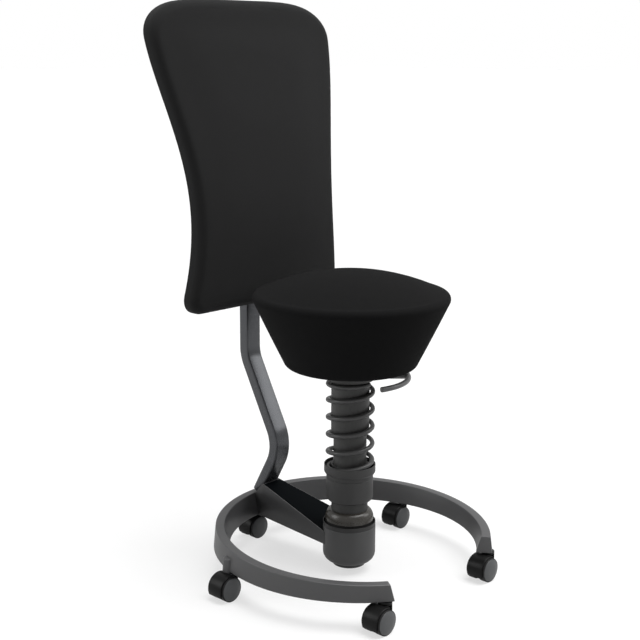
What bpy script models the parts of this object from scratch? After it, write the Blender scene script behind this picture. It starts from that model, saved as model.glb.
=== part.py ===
"""Spring balance stool with a backrest.

A C-shaped castor base carries, on its rear arm, a hub with a ball joint bedded in rubber.
A telescoping column stands on the ball, a coil spring round the column carries the seat,
and a gas lift inside the column sets the seat's height. A bent bar holds the backrest.

Metres, +Z up. The column's axis is X = Y = 0, the floor is Z = 0 and the sitter faces -Y.
"""
import math

import bmesh
import bpy
import numpy as np
from mathutils import Matrix, Vector

# Fits and facets
GAP = 0.0003
RUN = 0.0004
BALL_RUN = 0.0008
SIDES = 28
INNER_SIDES = 20
BALL_SIDES = 24
SEAT_SIDES = 36
WHEEL_SIDES = 18
PIN_SIDES = 8
ARC_STEPS = 4
CUT_OVERRUN = 0.002
WELD = 1e-6
SMOOTH_ANGLE = math.radians(35.0)
HALF_FACET = math.pi / PIN_SIDES

# Base ring, a C in plan that is open at the front
RING_CENTRE_Y = -0.0093
RING_TOP_OUTER_R = 0.286
RING_TOP_WIDTH = 0.016
RING_OUTER_FLARE = 0.0045
RING_INNER_FLARE = 0.006
RING_BOTTOM_Z = 0.055
RING_REAR_HEIGHT = 0.050
RING_END_HEIGHT = 0.037
RING_END_ANGLE = math.radians(146.5)
RING_END_LEAN = 0.008
RING_EDGE = 0.002
RING_EDGE_SET = 0.0005
RING_STEPS = 48
BOSS_R = 0.0112
BOSS_HEIGHT = 0.027
BOSS_DOME = 0.004

# Castors, five on a circle, with twin wheels that trail behind the stem
CASTOR_NAMES = ("rear", "right_side", "right_front", "left_front", "left_side")
CASTOR_INSET = 0.005
CASTOR_TRAIL = 0.018
STEM_R = 0.0045
STEM_RISE = 0.030
STEM_COLLAR_R = 0.0085
WHEEL_R = 0.0255
WHEEL_WIDTH = 0.0152
WHEEL_DISC_R = 0.0222
WHEEL_RIM_STEP = 0.0009
WHEEL_DOME = 0.0016
WHEEL_EDGE = 0.0012
WHEEL_RIM = 0.003
WHEEL_DISH = 0.004
AXLE_R = 0.003
AXLE_SEAT = 0.010
HOOD_WEB = 0.0136
HOOD_WALL = 0.0013
HOOD_CLEAR = 0.0007
HOOD_COVER_WIDTH = 0.037
HOOD_FRONT_X = 0.0075
HOOD_LOW_Z = 0.012
HOOD_ARC_START = math.radians(70.0)
HOOD_ARC_END = math.radians(200.0)
HOOD_COVER_END = math.radians(199.0)
HOOD_ARC_STEPS = 6

# Hub at the column's foot
HUB_R = 0.0565
HUB_RIM_WALL = 0.0014
HUB_SEAT_WALL = 0.0100
HUB_RIM_Z = 0.0927
HUB_RIM_DEPTH = 0.0247
HUB_FLOOR_Z = 0.034
HUB_FLOOR = 0.016
HUB_CORNER_R = 0.012
HUB_RING_HEIGHT = 0.0035
HUB_CAP_R = 0.040
HUB_CAP_HEIGHT = 0.0077
HUB_CAP_EDGE = 0.0025

# Ball joint: ball, liner, rubber seat, retaining ring and the domed rubber collar
PIVOT_Z = 0.0955
BALL_R = 0.028
BALL_STEM_R = 0.014
BALL_STEM_CAP = 0.005
BALL_FLAT = math.radians(155.0)
LINER_WALL = 0.0018
LINER_TOP = math.radians(55.0)
LINER_END = math.radians(148.0)
SOCKET_HOLE = math.radians(150.0)
SOCKET_RISE = 0.012
COLLAR_R = 0.0545
COLLAR_WALL = 0.003
COLLAR_SKIRT = math.radians(104.0)
SPHERE_STEPS = 6

# Column foot, lower tube and spring adjuster
NECK_R = 0.0378
NECK_RISE = 0.0572
FOOT_FLANGE_R = 0.0386
FOOT_FLANGE_RISE = 0.0325
FOOT_FLANGE_HEIGHT = 0.008
FOOT_SPIGOT = 0.019
LOWER_TUBE_R = 0.0343
LOWER_TUBE_WALL = 0.0025
SLEEVE_R = 0.0487
SLEEVE_HEIGHT = 0.059
SLEEVE_FLOOR = 0.006
SLEEVE_WALL = 0.007
SLEEVE_CORNER = 0.0095
CUP_HEIGHT = 0.0197
CUP_FLOOR = 0.0024
CUP_RIM_WALL = 0.0019
CUP_SHANK = 0.040
CUP_EDGE = 0.0015

# Coil spring
WIRE_R = 0.0048
COIL_CLEAR = 0.0004
SPRING_LENGTH = 0.1972
SPRING_TURNS = 5.8
END_TURNS = 0.5
END_PITCH = 0.0108
COIL_START = math.radians(-10.7)
COIL_POINTS = 10

# Upper column and gas lift
BOUNCE = 0.050
STOP_GAP = 0.005
PLATE_R = 0.0505
PLATE_HEIGHT = 0.010
PLATE_CHAMFER_R = 0.0027
PLATE_CHAMFER_HEIGHT = 0.007
UPPER_TUBE_R = 0.0388
UPPER_TUBE_WALL = 0.0022
UPPER_TUBE_DROP = 0.1135
UPPER_TUBE_RISE = 0.0022
GUIDE_BUSH_LENGTH = 0.035
INNER_BUSH_LENGTH = 0.022
TOP_BUSH_LENGTH = 0.030
TOP_BUSH_FLANGE = 0.003
GAS_R = 0.025
GAS_WALL = 0.0045
GAS_STROKE = 0.130
GAS_HEAD = 0.010
GAS_FOOT = 0.012
TAPER_BASE_R = 0.0145
TAPER_TIP_R = 0.0133
TAPER_LENGTH = 0.044
PISTON_LENGTH = 0.010
PISTON_PLAY = 0.003
PISTON_HEAD_ROOM = 0.013
ROD_R = 0.005
ROD_COLLAR_R = 0.010
ROD_COLLAR = 0.003
ROD_HEAD_R = 0.0085
ROD_HEAD = 0.004
GUIDE_TUBE_R = 0.029
GUIDE_TUBE_WALL = 0.0028
GUIDE_TUBE_FLOOR = 0.004
BEARING_R = 0.012
BEARING_HEIGHT = 0.006
VALVE_R = 0.004
VALVE_SEAT = 0.024
VALVE_RISE = 0.0107

# Seat mechanism and release lever
MOUNT_CLEAR = 0.0025
SOCKET_R = 0.021
CHANNEL_HALF = 0.012
CHANNEL_SHEET = 0.003
CHANNEL_BASE = 0.004
CHANNEL_HEIGHT = 0.0262
CHANNEL_LENGTH = 0.100
CHANNEL_FLANGE = 0.035
LEVER_AZIMUTH = math.radians(-46.0)
LEVER_ROD_R = 0.0055
LEVER_BEVEL_STEPS = 2
LEVER_PIVOT_X = 0.025
LEVER_TAIL = 0.029
LEVER_KNEE_X = 0.060
LEVER_DROP = 0.0765
LEVER_REACH = 0.1165
LEVER_BEND_R = 0.014
LEVER_SHANK_LEAN = 0.008
LEVER_SPAN = math.radians(59.0)
LEVER_ARC_STEPS = 14
LEVER_PIN_R = 0.003
LEVER_PIN_HEAD = 0.002

# Seat
SEAT_CLEAR = 0.0125
SEAT_RIM_R = 0.200
SEAT_FOOT_R = 0.1385
SEAT_SIDE_HEIGHT = 0.1425
SEAT_CROWN = 0.0535
SEAT_RIM_ROUND = 0.008
SEAT_FOOT_ROUND = 0.016
SEAT_DRAW_IN = 0.003
SEAT_SIDE_TILT = 20.0
SEAT_POCKET_R = 0.095
SEAT_BOARD_R = 0.150
SEAT_BOARD = 0.012
CROWN_STEPS = 8
SIDE_STEPS = 5

# Rear arm, a sheet channel with a sunk cover
ARM_SHEET = 0.005
ARM_HUB_Y = 0.020
ARM_HUB_HALF = 0.0509
ARM_HUB_TOP_Z = 0.0843
ARM_HUB_BOTTOM_Z = 0.0597
ARM_REAR_SETBACK = 0.0487
ARM_CREST_SETBACK = 0.0422
ARM_CREST_Z = 0.134
ARM_TAIL_TOP_Z = 0.104
ARM_COVER = 0.003
ARM_COVER_SINK = 0.002
ARM_COVER_SETBACK = 0.015

# Back bar, bent twice in the stool's middle plane
BAR_WIDTH = 0.037
BAR_THICK = 0.020
BAR_EDGE = 0.003
BAR_TOP_Z = 0.740
BAR_BACK_Y = 0.2935
BAR_BEND_Z = 0.4145
BAR_KNEE_Y = 0.193
BAR_KNEE_Z = 0.223
BAR_FOOT_SETBACK = 0.0192
BAR_FOOT_Z = 0.110
BAR_BEND_R = 0.080
BEND_STEPS = 6

# Backrest: height, half width and the back face's Y, at five heights
BACK_STATIONS = (
    (0.546, 0.2155, 0.2715),
    (0.700, 0.1945, 0.2590),
    (0.850, 0.2024, 0.2733),
    (1.000, 0.2340, 0.3060),
    (1.155, 0.2470, 0.3440),
)
BACK_TOP_CORNER = 0.062
BACK_FOOT_CORNER = 0.032
PAD_THICK = 0.035
PAD_ROUND = 0.016
PAD_CROWN = 0.004
PAD_ROUND_SHARE = 0.45
PAD_ROWS = 15
PAD_EDGE_ROWS = 5
SHELL_THICK = 0.008
SHELL_INSET = 0.009
SHELL_ROWS = 14
BRACKET_HALF = 0.030
BRACKET_LOW_Z = 0.590
BRACKET_ROWS = 6

# Heights and radii that follow from the sizes above
AXLE_Z = WHEEL_R * math.cos(math.pi / WHEEL_SIDES)
HOOD_R = WHEEL_R + HOOD_CLEAR + HOOD_WALL
HOOD_TOP_Z = AXLE_Z + HOOD_R
WHEEL_INNER_Y = HOOD_WEB / 2 + RUN
WHEEL_PHASE = math.pi / 2 + math.pi / WHEEL_SIDES
RING_END_Y = RING_CENTRE_Y + RING_TOP_OUTER_R * math.cos(RING_END_ANGLE)
RING_REAR_Y = RING_CENTRE_Y + RING_TOP_OUTER_R
CASTOR_CIRCLE_R = RING_TOP_OUTER_R - CASTOR_INSET
LINER_R = BALL_R + BALL_RUN + LINER_WALL
SOCKET_BALL_R = LINER_R + BALL_RUN
HUB_SEAT_R = HUB_R - HUB_SEAT_WALL
NECK_TOP_Z = PIVOT_Z + NECK_RISE
LOWER_BORE_R = LOWER_TUBE_R - LOWER_TUBE_WALL
SLEEVE_Z = NECK_TOP_Z + GAP
SLEEVE_TOP_Z = SLEEVE_Z + SLEEVE_HEIGHT
CUP_Z = SLEEVE_TOP_Z + GAP
COLUMN_BORE_R = LOWER_TUBE_R + RUN
SHANK_R = SLEEVE_R - SLEEVE_WALL - RUN
COIL_R = (UPPER_TUBE_R + COIL_CLEAR) / math.cos(math.pi / COIL_POINTS) + WIRE_R
CUP_BORE_R = (COIL_R + WIRE_R + COIL_CLEAR) / math.cos(math.pi / SIDES)
CUP_R = CUP_BORE_R + CUP_RIM_WALL
SPRING_Z = CUP_Z + CUP_FLOOR + GAP
PLATE_Z = SPRING_Z + SPRING_LENGTH + GAP
PLATE_TOP_Z = PLATE_Z + PLATE_HEIGHT
UPPER_TUBE_Z = PLATE_Z - UPPER_TUBE_DROP
UPPER_TUBE_TOP_Z = PLATE_TOP_Z + UPPER_TUBE_RISE
UPPER_BORE_R = UPPER_TUBE_R - UPPER_TUBE_WALL
BUSH_R = UPPER_BORE_R - GAP
TOP_BUSH_Z = UPPER_TUBE_TOP_Z - TOP_BUSH_LENGTH
COLUMN_TOP_Z = UPPER_TUBE_TOP_Z + GAP + TOP_BUSH_FLANGE
LOWER_TUBE_TOP_Z = TOP_BUSH_Z - BOUNCE - STOP_GAP
GAS_BORE_R = GAS_R - GAS_WALL
TAPER_Z = COLUMN_TOP_Z
TAPER_TOP_Z = TAPER_Z + TAPER_LENGTH
PISTON_TOP_Z = TAPER_Z - GAS_HEAD - PISTON_HEAD_ROOM
PISTON_Z = PISTON_TOP_Z - PISTON_LENGTH
GAS_FLOOR_Z = PISTON_Z - PISTON_PLAY - GAS_STROKE
GAS_Z = GAS_FLOOR_Z - GAS_FOOT
ROD_COLLAR_Z = GAS_Z - RUN - ROD_COLLAR
BEARING_Z = ROD_COLLAR_Z - GAP - BEARING_HEIGHT
GUIDE_FLOOR_Z = BEARING_Z - GAP
GUIDE_Z = GUIDE_FLOOR_Z - GUIDE_TUBE_FLOOR
ROD_Z = GUIDE_Z - RUN - ROD_HEAD
MOUNT_Z = COLUMN_TOP_Z + MOUNT_CLEAR
CHANNEL_FLOOR_Z = TAPER_TOP_Z + CHANNEL_SHEET
CHANNEL_TOP_Z = CHANNEL_FLOOR_Z + CHANNEL_HEIGHT
LEVER_PIVOT_Z = TAPER_TOP_Z + VALVE_RISE + GAP + LEVER_ROD_R
SEAT_Z = COLUMN_TOP_Z + SEAT_CLEAR
SEAT_RIM_Z = SEAT_Z + SEAT_SIDE_HEIGHT
SEAT_TOP_Z = SEAT_RIM_Z + SEAT_CROWN
SEAT_BOARD_Z = CHANNEL_TOP_Z + GAP
ARM_REAR_HALF = BAR_WIDTH / 2 + GAP + ARM_SHEET
ARM_REAR_Y = RING_REAR_Y - ARM_REAR_SETBACK
ARM_CREST_Y = RING_REAR_Y - ARM_CREST_SETBACK
ARM_COVER_END_Y = ARM_REAR_Y - ARM_COVER_SETBACK
BAR_FOOT_Y = RING_REAR_Y - BAR_FOOT_SETBACK
BACK_FOOT_Z = BACK_STATIONS[0][0]
BACK_TOP_Z = BACK_STATIONS[-1][0]
LEVER_TURN = Matrix.Rotation(LEVER_AZIMUTH, 3, "Z")
LEVER_PLACE = LEVER_TURN @ Vector((LEVER_PIVOT_X, 0.0, LEVER_PIVOT_Z))

# Looks: base colour, roughness and metallic value of each finish
LOOKS = {
    "powder_coat": ((0.055, 0.055, 0.056), 0.45, 0.3),
    "black_cover": ((0.012, 0.013, 0.014), 0.55, 0.0),
    "black_plastic": ((0.020, 0.020, 0.020), 0.45, 0.0),
    "grey_disc": ((0.065, 0.066, 0.068), 0.40, 0.0),
    "rubber": ((0.050, 0.048, 0.044), 0.60, 0.0),
    "steel": ((0.45, 0.45, 0.46), 0.30, 1.0),
    "spring_steel": ((0.060, 0.060, 0.060), 0.35, 0.6),
    "bearing_plastic": ((0.60, 0.58, 0.52), 0.50, 0.0),
    "plywood": ((0.42, 0.28, 0.15), 0.65, 0.0),
    "fabric": ((0.016, 0.016, 0.017), 0.95, 0.0),
}


def clear_scene():
    """Remove every object of the open file."""
    for obj in list(bpy.data.objects):
        bpy.data.objects.remove(obj, do_unlink=True)


def new_collection(name):
    """Return a new collection linked to the scene."""
    made = bpy.data.collections.new(name)
    bpy.context.scene.collection.children.link(made)
    return made


def make_material(name, look):
    """Return a Principled material of the given look."""
    colour, roughness, metallic = LOOKS[look]
    material = bpy.data.materials.new(name)
    material.use_nodes = True
    shader = material.node_tree.nodes["Principled BSDF"]
    shader.inputs["Base Color"].default_value = (*colour, 1.0)
    shader.inputs["Roughness"].default_value = roughness
    shader.inputs["Metallic"].default_value = metallic
    return material


def add_object(name, data, look=None):
    """Link an object to the stool's collection, with a material of its own."""
    obj = bpy.data.objects.new(name, data)
    PARTS.objects.link(obj)
    if look:
        data.materials.clear()
        data.materials.append(make_material(name, look))
    return obj


def add_pivot(name, location, parent=None):
    """Add an empty on a joint's axis."""
    empty = bpy.data.objects.new(name, None)
    PARTS.objects.link(empty)
    empty.location = location
    bpy.context.view_layer.update()
    if parent:
        attach(parent, empty)
    return empty


def attach(pivot, *pieces):
    """Parent pieces to a pivot and keep them where they are."""
    bpy.context.view_layer.update()
    for piece in pieces:
        piece.parent = pivot
        piece.matrix_parent_inverse = pivot.matrix_world.inverted()


def as_cutter(obj):
    """Move a shape to the cutters, out of sight."""
    PARTS.objects.unlink(obj)
    CUTTERS.objects.link(obj)
    obj.hide_render = True
    obj.display_type = "WIRE"
    return obj


def boolean(obj, other, operation):
    """Cut another shape from an object, or join it on."""
    modifier = obj.modifiers.new(f"{operation.title()} {other.name}", "BOOLEAN")
    modifier.operation = operation
    modifier.solver = "EXACT"
    modifier.object = as_cutter(other)


def cut(obj, *cutters):
    """Cut shapes from an object."""
    for cutter in cutters:
        boolean(obj, cutter, "DIFFERENCE")


def cut_pattern(obj, name, cutters):
    """Cut a whole pattern of shapes from an object in one step."""
    pattern = bpy.data.collections.new(name)
    CUTTERS.children.link(pattern)
    for cutter in cutters:
        pattern.objects.link(as_cutter(cutter))
    modifier = obj.modifiers.new(f"Difference {name}", "BOOLEAN")
    modifier.operation = "DIFFERENCE"
    modifier.solver = "EXACT"
    modifier.operand_type = "COLLECTION"
    modifier.collection = pattern


def join(obj, *others):
    """Join shapes to an object as one body."""
    for other in others:
        boolean(obj, other, "UNION")


def baked_mesh(obj):
    """Return an object's evaluated mesh, welded and shaded smooth."""
    bpy.context.view_layer.update()
    graph = bpy.context.evaluated_depsgraph_get()
    mesh = bpy.data.meshes.new_from_object(obj.evaluated_get(graph))
    edit = bmesh.new()
    edit.from_mesh(mesh)
    bmesh.ops.remove_doubles(edit, verts=edit.verts, dist=WELD)
    edit.to_mesh(mesh)
    edit.free()
    mesh.shade_smooth()
    mesh.set_sharp_from_angle(angle=SMOOTH_ANGLE)
    return mesh


def from_curve(name, curve, look):
    """Turn a curve into a mesh object that can be cut and joined."""
    source = bpy.data.objects.new(name + "_curve", curve)
    PARTS.objects.link(source)
    mesh = baked_mesh(source)
    bpy.data.objects.remove(source)
    return add_object(name, mesh, look)


def turned(name, profile, look, sides=SIDES, closed=False, phase=0.0):
    """Turn a profile of (radius, height) points, which runs down its outer side, about Z."""
    mesh = bpy.data.meshes.new(name)
    points = [(r * math.cos(phase), r * math.sin(phase), z) for r, z in profile]
    edges = [(i, i + 1) for i in range(len(points) - 1)]
    if closed:
        edges.append((len(points) - 1, 0))
    mesh.from_pydata(points, edges, [])
    obj = add_object(name, mesh, look)
    screw = obj.modifiers.new("Turn", "SCREW")
    screw.axis = "Z"
    screw.angle = math.tau
    screw.steps = sides
    screw.render_steps = sides
    screw.use_merge_vertices = True
    screw.merge_threshold = WELD
    screw.use_smooth_shade = True
    return obj


def ring(name, inner, outer, low, high, look, sides=SIDES):
    """Turn a plain ring or tube."""
    profile = [(inner, high), (outer, high), (outer, low), (inner, low)]
    return turned(name, profile, look, sides, closed=True)


def rod(name, radius, low, high, look, sides=PIN_SIDES, phase=0.0):
    """Turn a plain round bar."""
    profile = [(0.0, high), (radius, high), (radius, low), (0.0, low)]
    return turned(name, profile, look, sides, phase=phase)


def arc(centre_r, centre_z, radius, start, end, steps=ARC_STEPS):
    """Return (radius, height) points on an arc, with angles from +r towards +z in degrees."""
    angles = np.radians(np.linspace(start, end, steps + 1))
    return [(centre_r + radius * math.cos(a), centre_z + radius * math.sin(a)) for a in angles]


def sphere_arc(radius, start, end, steps=SPHERE_STEPS):
    """Return profile points on a sphere about the ball joint, with angles from +Z."""
    angles = np.linspace(start, end, steps + 1)
    return [(radius * math.sin(a), PIVOT_Z + radius * math.cos(a)) for a in angles]


def loft(name, rings, look):
    """Join closed rings of equally many points into one capped body."""
    mesh = bpy.data.meshes.new(name)
    edit = bmesh.new()
    rows = [[edit.verts.new(point) for point in points] for points in rings]
    count = len(rows[0])
    for row, following in zip(rows, rows[1:]):
        for i in range(count):
            j = (i + 1) % count
            edit.faces.new((row[i], row[j], following[j], following[i]))
    edit.faces.new(rows[0][::-1])
    edit.faces.new(rows[-1])
    bmesh.ops.recalc_face_normals(edit, faces=edit.faces)
    edit.to_mesh(mesh)
    edit.free()
    mesh.shade_smooth()
    mesh.set_sharp_from_angle(angle=SMOOTH_ANGLE)
    return add_object(name, mesh, look)


def extruded(name, outline, depth, look):
    """Extrude a flat outline of (x, y) points by half its depth each way along Z."""
    curve = bpy.data.curves.new(name, "CURVE")
    curve.dimensions = "2D"
    curve.fill_mode = "BOTH"
    curve.extrude = depth / 2
    spline = curve.splines.new("POLY")
    spline.points.add(len(outline) - 1)
    for point, (x, y) in zip(spline.points, outline):
        point.co = (x, y, 0.0, 1.0)
    spline.use_cyclic_u = True
    return from_curve(name, curve, look)


def tube(name, points, radius, look, bevel_resolution=1):
    """Sweep a round section along a line of points."""
    curve = bpy.data.curves.new(name, "CURVE")
    curve.dimensions = "3D"
    curve.bevel_depth = radius
    curve.bevel_resolution = bevel_resolution
    curve.use_fill_caps = True
    spline = curve.splines.new("POLY")
    spline.points.add(len(points) - 1)
    for point, place in zip(spline.points, points):
        point.co = (*place, 1.0)
    return from_curve(name, curve, look)


def bent_line(corners, radius, steps=BEND_STEPS):
    """Return a line through corner points, with each inner corner rounded to a radius."""
    corners = [Vector(corner) for corner in corners]
    line = [corners[0]]
    for before, corner, after in zip(corners, corners[1:], corners[2:]):
        come = (before - corner).normalized()
        leave = (after - corner).normalized()
        half = come.angle(leave) / 2
        centre = corner + (come + leave).normalized() * (radius / math.sin(half))
        first = corner + come * (radius / math.tan(half)) - centre
        last = corner + leave * (radius / math.tan(half)) - centre
        sweep = first.angle(last)
        for step in range(steps + 1):
            turn = sweep * step / steps
            blend = first * math.sin(sweep - turn) + last * math.sin(turn)
            line.append(centre + blend / math.sin(sweep))
    line.append(corners[-1])
    return line


def ring_section(grow=0.0):
    """Return the base ring's section as (radius, height share, height offset) points, inside first."""
    outer = RING_TOP_OUTER_R + grow
    inner = RING_TOP_OUTER_R - RING_TOP_WIDTH - grow
    return (
        (inner - RING_INNER_FLARE + RING_EDGE, 0.0, -grow),
        (inner - RING_INNER_FLARE, 0.0, RING_EDGE),
        (inner - RING_EDGE_SET, 1.0, grow - RING_EDGE),
        (inner + RING_EDGE, 1.0, grow),
        (outer - RING_EDGE, 1.0, grow),
        (outer + RING_EDGE_SET, 1.0, grow - RING_EDGE),
        (outer + RING_OUTER_FLARE, 0.0, RING_EDGE),
        (outer + RING_OUTER_FLARE - RING_EDGE, 0.0, -grow),
    )


def ring_height(y):
    """Return the base ring's height at a depth, which falls evenly from the rear to the ends."""
    share = (RING_REAR_Y - y) / (RING_REAR_Y - RING_END_Y)
    return RING_REAR_HEIGHT + (RING_END_HEIGHT - RING_REAR_HEIGHT) * share


def ring_place(angle, radius):
    """Return the plan position at an angle from the rear, measured towards -X, about the ring's centre."""
    return -radius * math.sin(angle), RING_CENTRE_Y + radius * math.cos(angle)


def castor_places():
    """Return each castor's name and stem position in plan."""
    step = math.tau / len(CASTOR_NAMES)
    return [(name, *ring_place(k * step, CASTOR_CIRCLE_R)) for k, name in enumerate(CASTOR_NAMES)]


def ring_sections(grow=0.0):
    """Return the base ring's sections from end to end, with its end faces leaning outwards at the foot."""
    sections = []
    for step in range(RING_STEPS + 1):
        angle = -RING_END_ANGLE + 2 * RING_END_ANGLE * step / RING_STEPS
        section = []
        for radius, share, offset in ring_section(grow):
            lean = 0.0
            if step in (0, RING_STEPS):
                lean = (1.0 - share) * RING_END_LEAN / radius * math.copysign(1.0, angle)
            x, y = ring_place(angle + lean, radius)
            section.append((x, y, RING_BOTTOM_Z + share * ring_height(y) + offset))
        sections.append(section)
    return sections


def build_ring():
    """Build the C-shaped base ring with a boss and a stem bore at each castor."""
    base = loft("base_ring", ring_sections(), "powder_coat")
    bores = []
    dome = (math.pi / 2, math.pi / 4, 0.0)
    boss_top = RING_BOTTOM_Z + BOSS_HEIGHT
    bore_top = RING_BOTTOM_Z + STEM_RISE + GAP
    bore_low = RING_BOTTOM_Z - CUT_OVERRUN
    for name, x, y in castor_places():
        profile = [(BOSS_R * math.cos(a), boss_top + BOSS_DOME * math.sin(a)) for a in dome]
        profile += [(BOSS_R, RING_BOTTOM_Z - GAP), (0.0, RING_BOTTOM_Z - GAP)]
        boss = turned(f"boss_{name}", profile, "powder_coat", PIN_SIDES)
        boss.location = (x, y, 0.0)
        join(base, boss)
        bore = rod(f"stem_bore_{name}", STEM_R + RUN, bore_low, bore_top, "steel")
        bore.location = (x, y, 0.0)
        bores.append(bore)
    cut_pattern(base, "stem_bores", bores)


def hood_arc(radius, start, end):
    """Return points on an arc about the axle, in the castor's side view."""
    angles = np.linspace(start, end, HOOD_ARC_STEPS + 1)
    return [(-CASTOR_TRAIL + radius * math.cos(a), AXLE_Z + radius * math.sin(a)) for a in angles]


def hood_mesh():
    """Build the castor's hood about its stem: a web between the wheels and a cover over them."""
    outline = [(HOOD_FRONT_X, HOOD_LOW_Z), (HOOD_FRONT_X, HOOD_TOP_Z)]
    outline += hood_arc(HOOD_R, HOOD_ARC_START, HOOD_ARC_END)
    outline += [(-CASTOR_TRAIL, HOOD_LOW_Z)]
    hood = extruded("hood_pattern", outline, HOOD_WEB, "black_plastic")
    cover_outline = hood_arc(HOOD_R - GAP, HOOD_ARC_START, HOOD_COVER_END)
    cover_outline += hood_arc(HOOD_R - HOOD_WALL, HOOD_ARC_START, HOOD_COVER_END)[::-1]
    cover = extruded("hood_cover", cover_outline, HOOD_COVER_WIDTH, "black_plastic")
    axle_bore = rod("hood_axle_bore", AXLE_R + RUN, -HOOD_WEB, HOOD_WEB, "steel")
    axle_bore.location = (-CASTOR_TRAIL, AXLE_Z, 0.0)
    bore_low = HOOD_LOW_Z + HOOD_WALL
    stem_bore = rod("hood_stem_bore", STEM_R + GAP, bore_low, HOOD_TOP_Z + CUT_OVERRUN, "steel")
    stem_bore.rotation_euler = (-math.pi / 2, 0.0, 0.0)
    join(hood, cover)
    cut(hood, axle_bore, stem_bore)
    mesh = baked_mesh(hood)
    mesh.transform(Matrix.Rotation(math.pi / 2, 4, "X"))
    for pattern in (hood, cover, axle_bore, stem_bore):
        bpy.data.objects.remove(pattern)
    return mesh


def wheel_profile():
    """Return the wheel's half section: the domed disc outside, the tread, and the dished inside."""
    face = WHEEL_WIDTH
    bore_end = AXLE_SEAT + GAP
    bore_r = AXLE_R + GAP
    return [
        (0.0, face + WHEEL_DOME),
        (WHEEL_DISC_R, face),
        (WHEEL_DISC_R, face - WHEEL_RIM_STEP),
        (WHEEL_R - WHEEL_EDGE, face - WHEEL_RIM_STEP),
        (WHEEL_R, face - WHEEL_RIM_STEP - WHEEL_EDGE),
        (WHEEL_R, 0.0),
        (WHEEL_R - WHEEL_RIM, 0.0),
        (WHEEL_R - WHEEL_RIM, WHEEL_DISH),
        (bore_r, WHEEL_DISH),
        (bore_r, bore_end),
        (0.0, bore_end),
    ]


def build_castors():
    """Build the five castors, each on a swivel pivot at its stem with an axle pivot behind it."""
    hood_shape = hood_mesh()
    collar_top = RING_BOTTOM_Z - 2 * GAP
    for name, x, y in castor_places():
        swivel = add_pivot(f"swivel_{name}", (x, y, 0.0))
        stem_profile = [
            (0.0, RING_BOTTOM_Z + STEM_RISE),
            (STEM_R, RING_BOTTOM_Z + STEM_RISE),
            (STEM_R, collar_top),
            (STEM_COLLAR_R, collar_top),
            (STEM_COLLAR_R, HOOD_TOP_Z + GAP),
            (STEM_R, HOOD_TOP_Z + GAP),
            (STEM_R, HOOD_LOW_Z + HOOD_WALL + GAP),
            (0.0, HOOD_LOW_Z + HOOD_WALL + GAP),
        ]
        stem = turned(f"castor_stem_{name}", stem_profile, "steel", PIN_SIDES)
        hood = add_object(f"castor_hood_{name}", hood_shape.copy(), "black_plastic")
        stem.parent = swivel
        hood.parent = swivel
        roll = bpy.data.objects.new(f"roll_{name}", None)
        PARTS.objects.link(roll)
        roll.parent = swivel
        roll.location = (-CASTOR_TRAIL, 0.0, AXLE_Z)
        axle_half = WHEEL_INNER_Y + AXLE_SEAT
        axle = rod(f"castor_axle_{name}", AXLE_R, -axle_half, axle_half, "steel")
        axle.parent = roll
        axle.rotation_euler = (math.pi / 2, 0.0, 0.0)
        for side, turn in (("left", -1.0), ("right", 1.0)):
            wheel_name = f"castor_wheel_{side}_{name}"
            wheel = turned(wheel_name, wheel_profile(), "grey_disc", WHEEL_SIDES, phase=WHEEL_PHASE)
            wheel.parent = roll
            wheel.location = (0.0, -turn * WHEEL_INNER_Y, 0.0)
            wheel.rotation_euler = (turn * math.pi / 2, 0.0, 0.0)


def build_hub():
    """Build the hub housing, its trim ring and cap, and the fixed half of the ball joint."""
    rim_bore = HUB_R - HUB_RIM_WALL
    floor_low = HUB_FLOOR_Z - HUB_FLOOR
    profile = [
        (0.0, HUB_FLOOR_Z),
        (HUB_SEAT_R, HUB_FLOOR_Z),
        (HUB_SEAT_R, HUB_RIM_Z - HUB_RIM_DEPTH),
        (rim_bore, HUB_RIM_Z - HUB_RIM_DEPTH),
        (rim_bore, HUB_RIM_Z),
        (HUB_R, HUB_RIM_Z),
    ]
    profile += arc(HUB_R - HUB_CORNER_R, floor_low + HUB_CORNER_R, HUB_CORNER_R, 0.0, -90.0)
    profile += [(0.0, floor_low)]
    turned("hub_housing", profile, "powder_coat")
    trim_low = HUB_RIM_Z + GAP
    ring("hub_ring", rim_bore, HUB_R - GAP, trim_low, trim_low + HUB_RING_HEIGHT, "black_plastic")
    cap_top = floor_low - GAP
    cap_low = cap_top - HUB_CAP_HEIGHT
    cap_profile = [(0.0, cap_top), (HUB_CAP_R, cap_top), (HUB_CAP_R, cap_low + HUB_CAP_EDGE)]
    cap_profile += [(HUB_CAP_R - HUB_CAP_EDGE, cap_low), (0.0, cap_low)]
    turned("hub_cap", cap_profile, "black_plastic")
    seat_r = HUB_SEAT_R - GAP
    seat_profile = [(seat_r, PIVOT_Z), (seat_r, HUB_FLOOR_Z + GAP)]
    seat_profile += [(SOCKET_BALL_R * math.sin(SOCKET_HOLE), HUB_FLOOR_Z + GAP)]
    seat_profile += sphere_arc(SOCKET_BALL_R, SOCKET_HOLE, math.pi / 2)
    turned("elastomer_seat", seat_profile, "rubber", BALL_SIDES, closed=True)
    opening = math.acos(SOCKET_RISE / SOCKET_BALL_R)
    start = math.asin(GAP / SOCKET_BALL_R)
    retainer = [(seat_r, PIVOT_Z + SOCKET_RISE), (seat_r, PIVOT_Z + GAP)]
    retainer += sphere_arc(SOCKET_BALL_R, math.pi / 2 - start, opening, ARC_STEPS)
    turned("retaining_ring", retainer, "steel", BALL_SIDES, closed=True)


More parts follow.
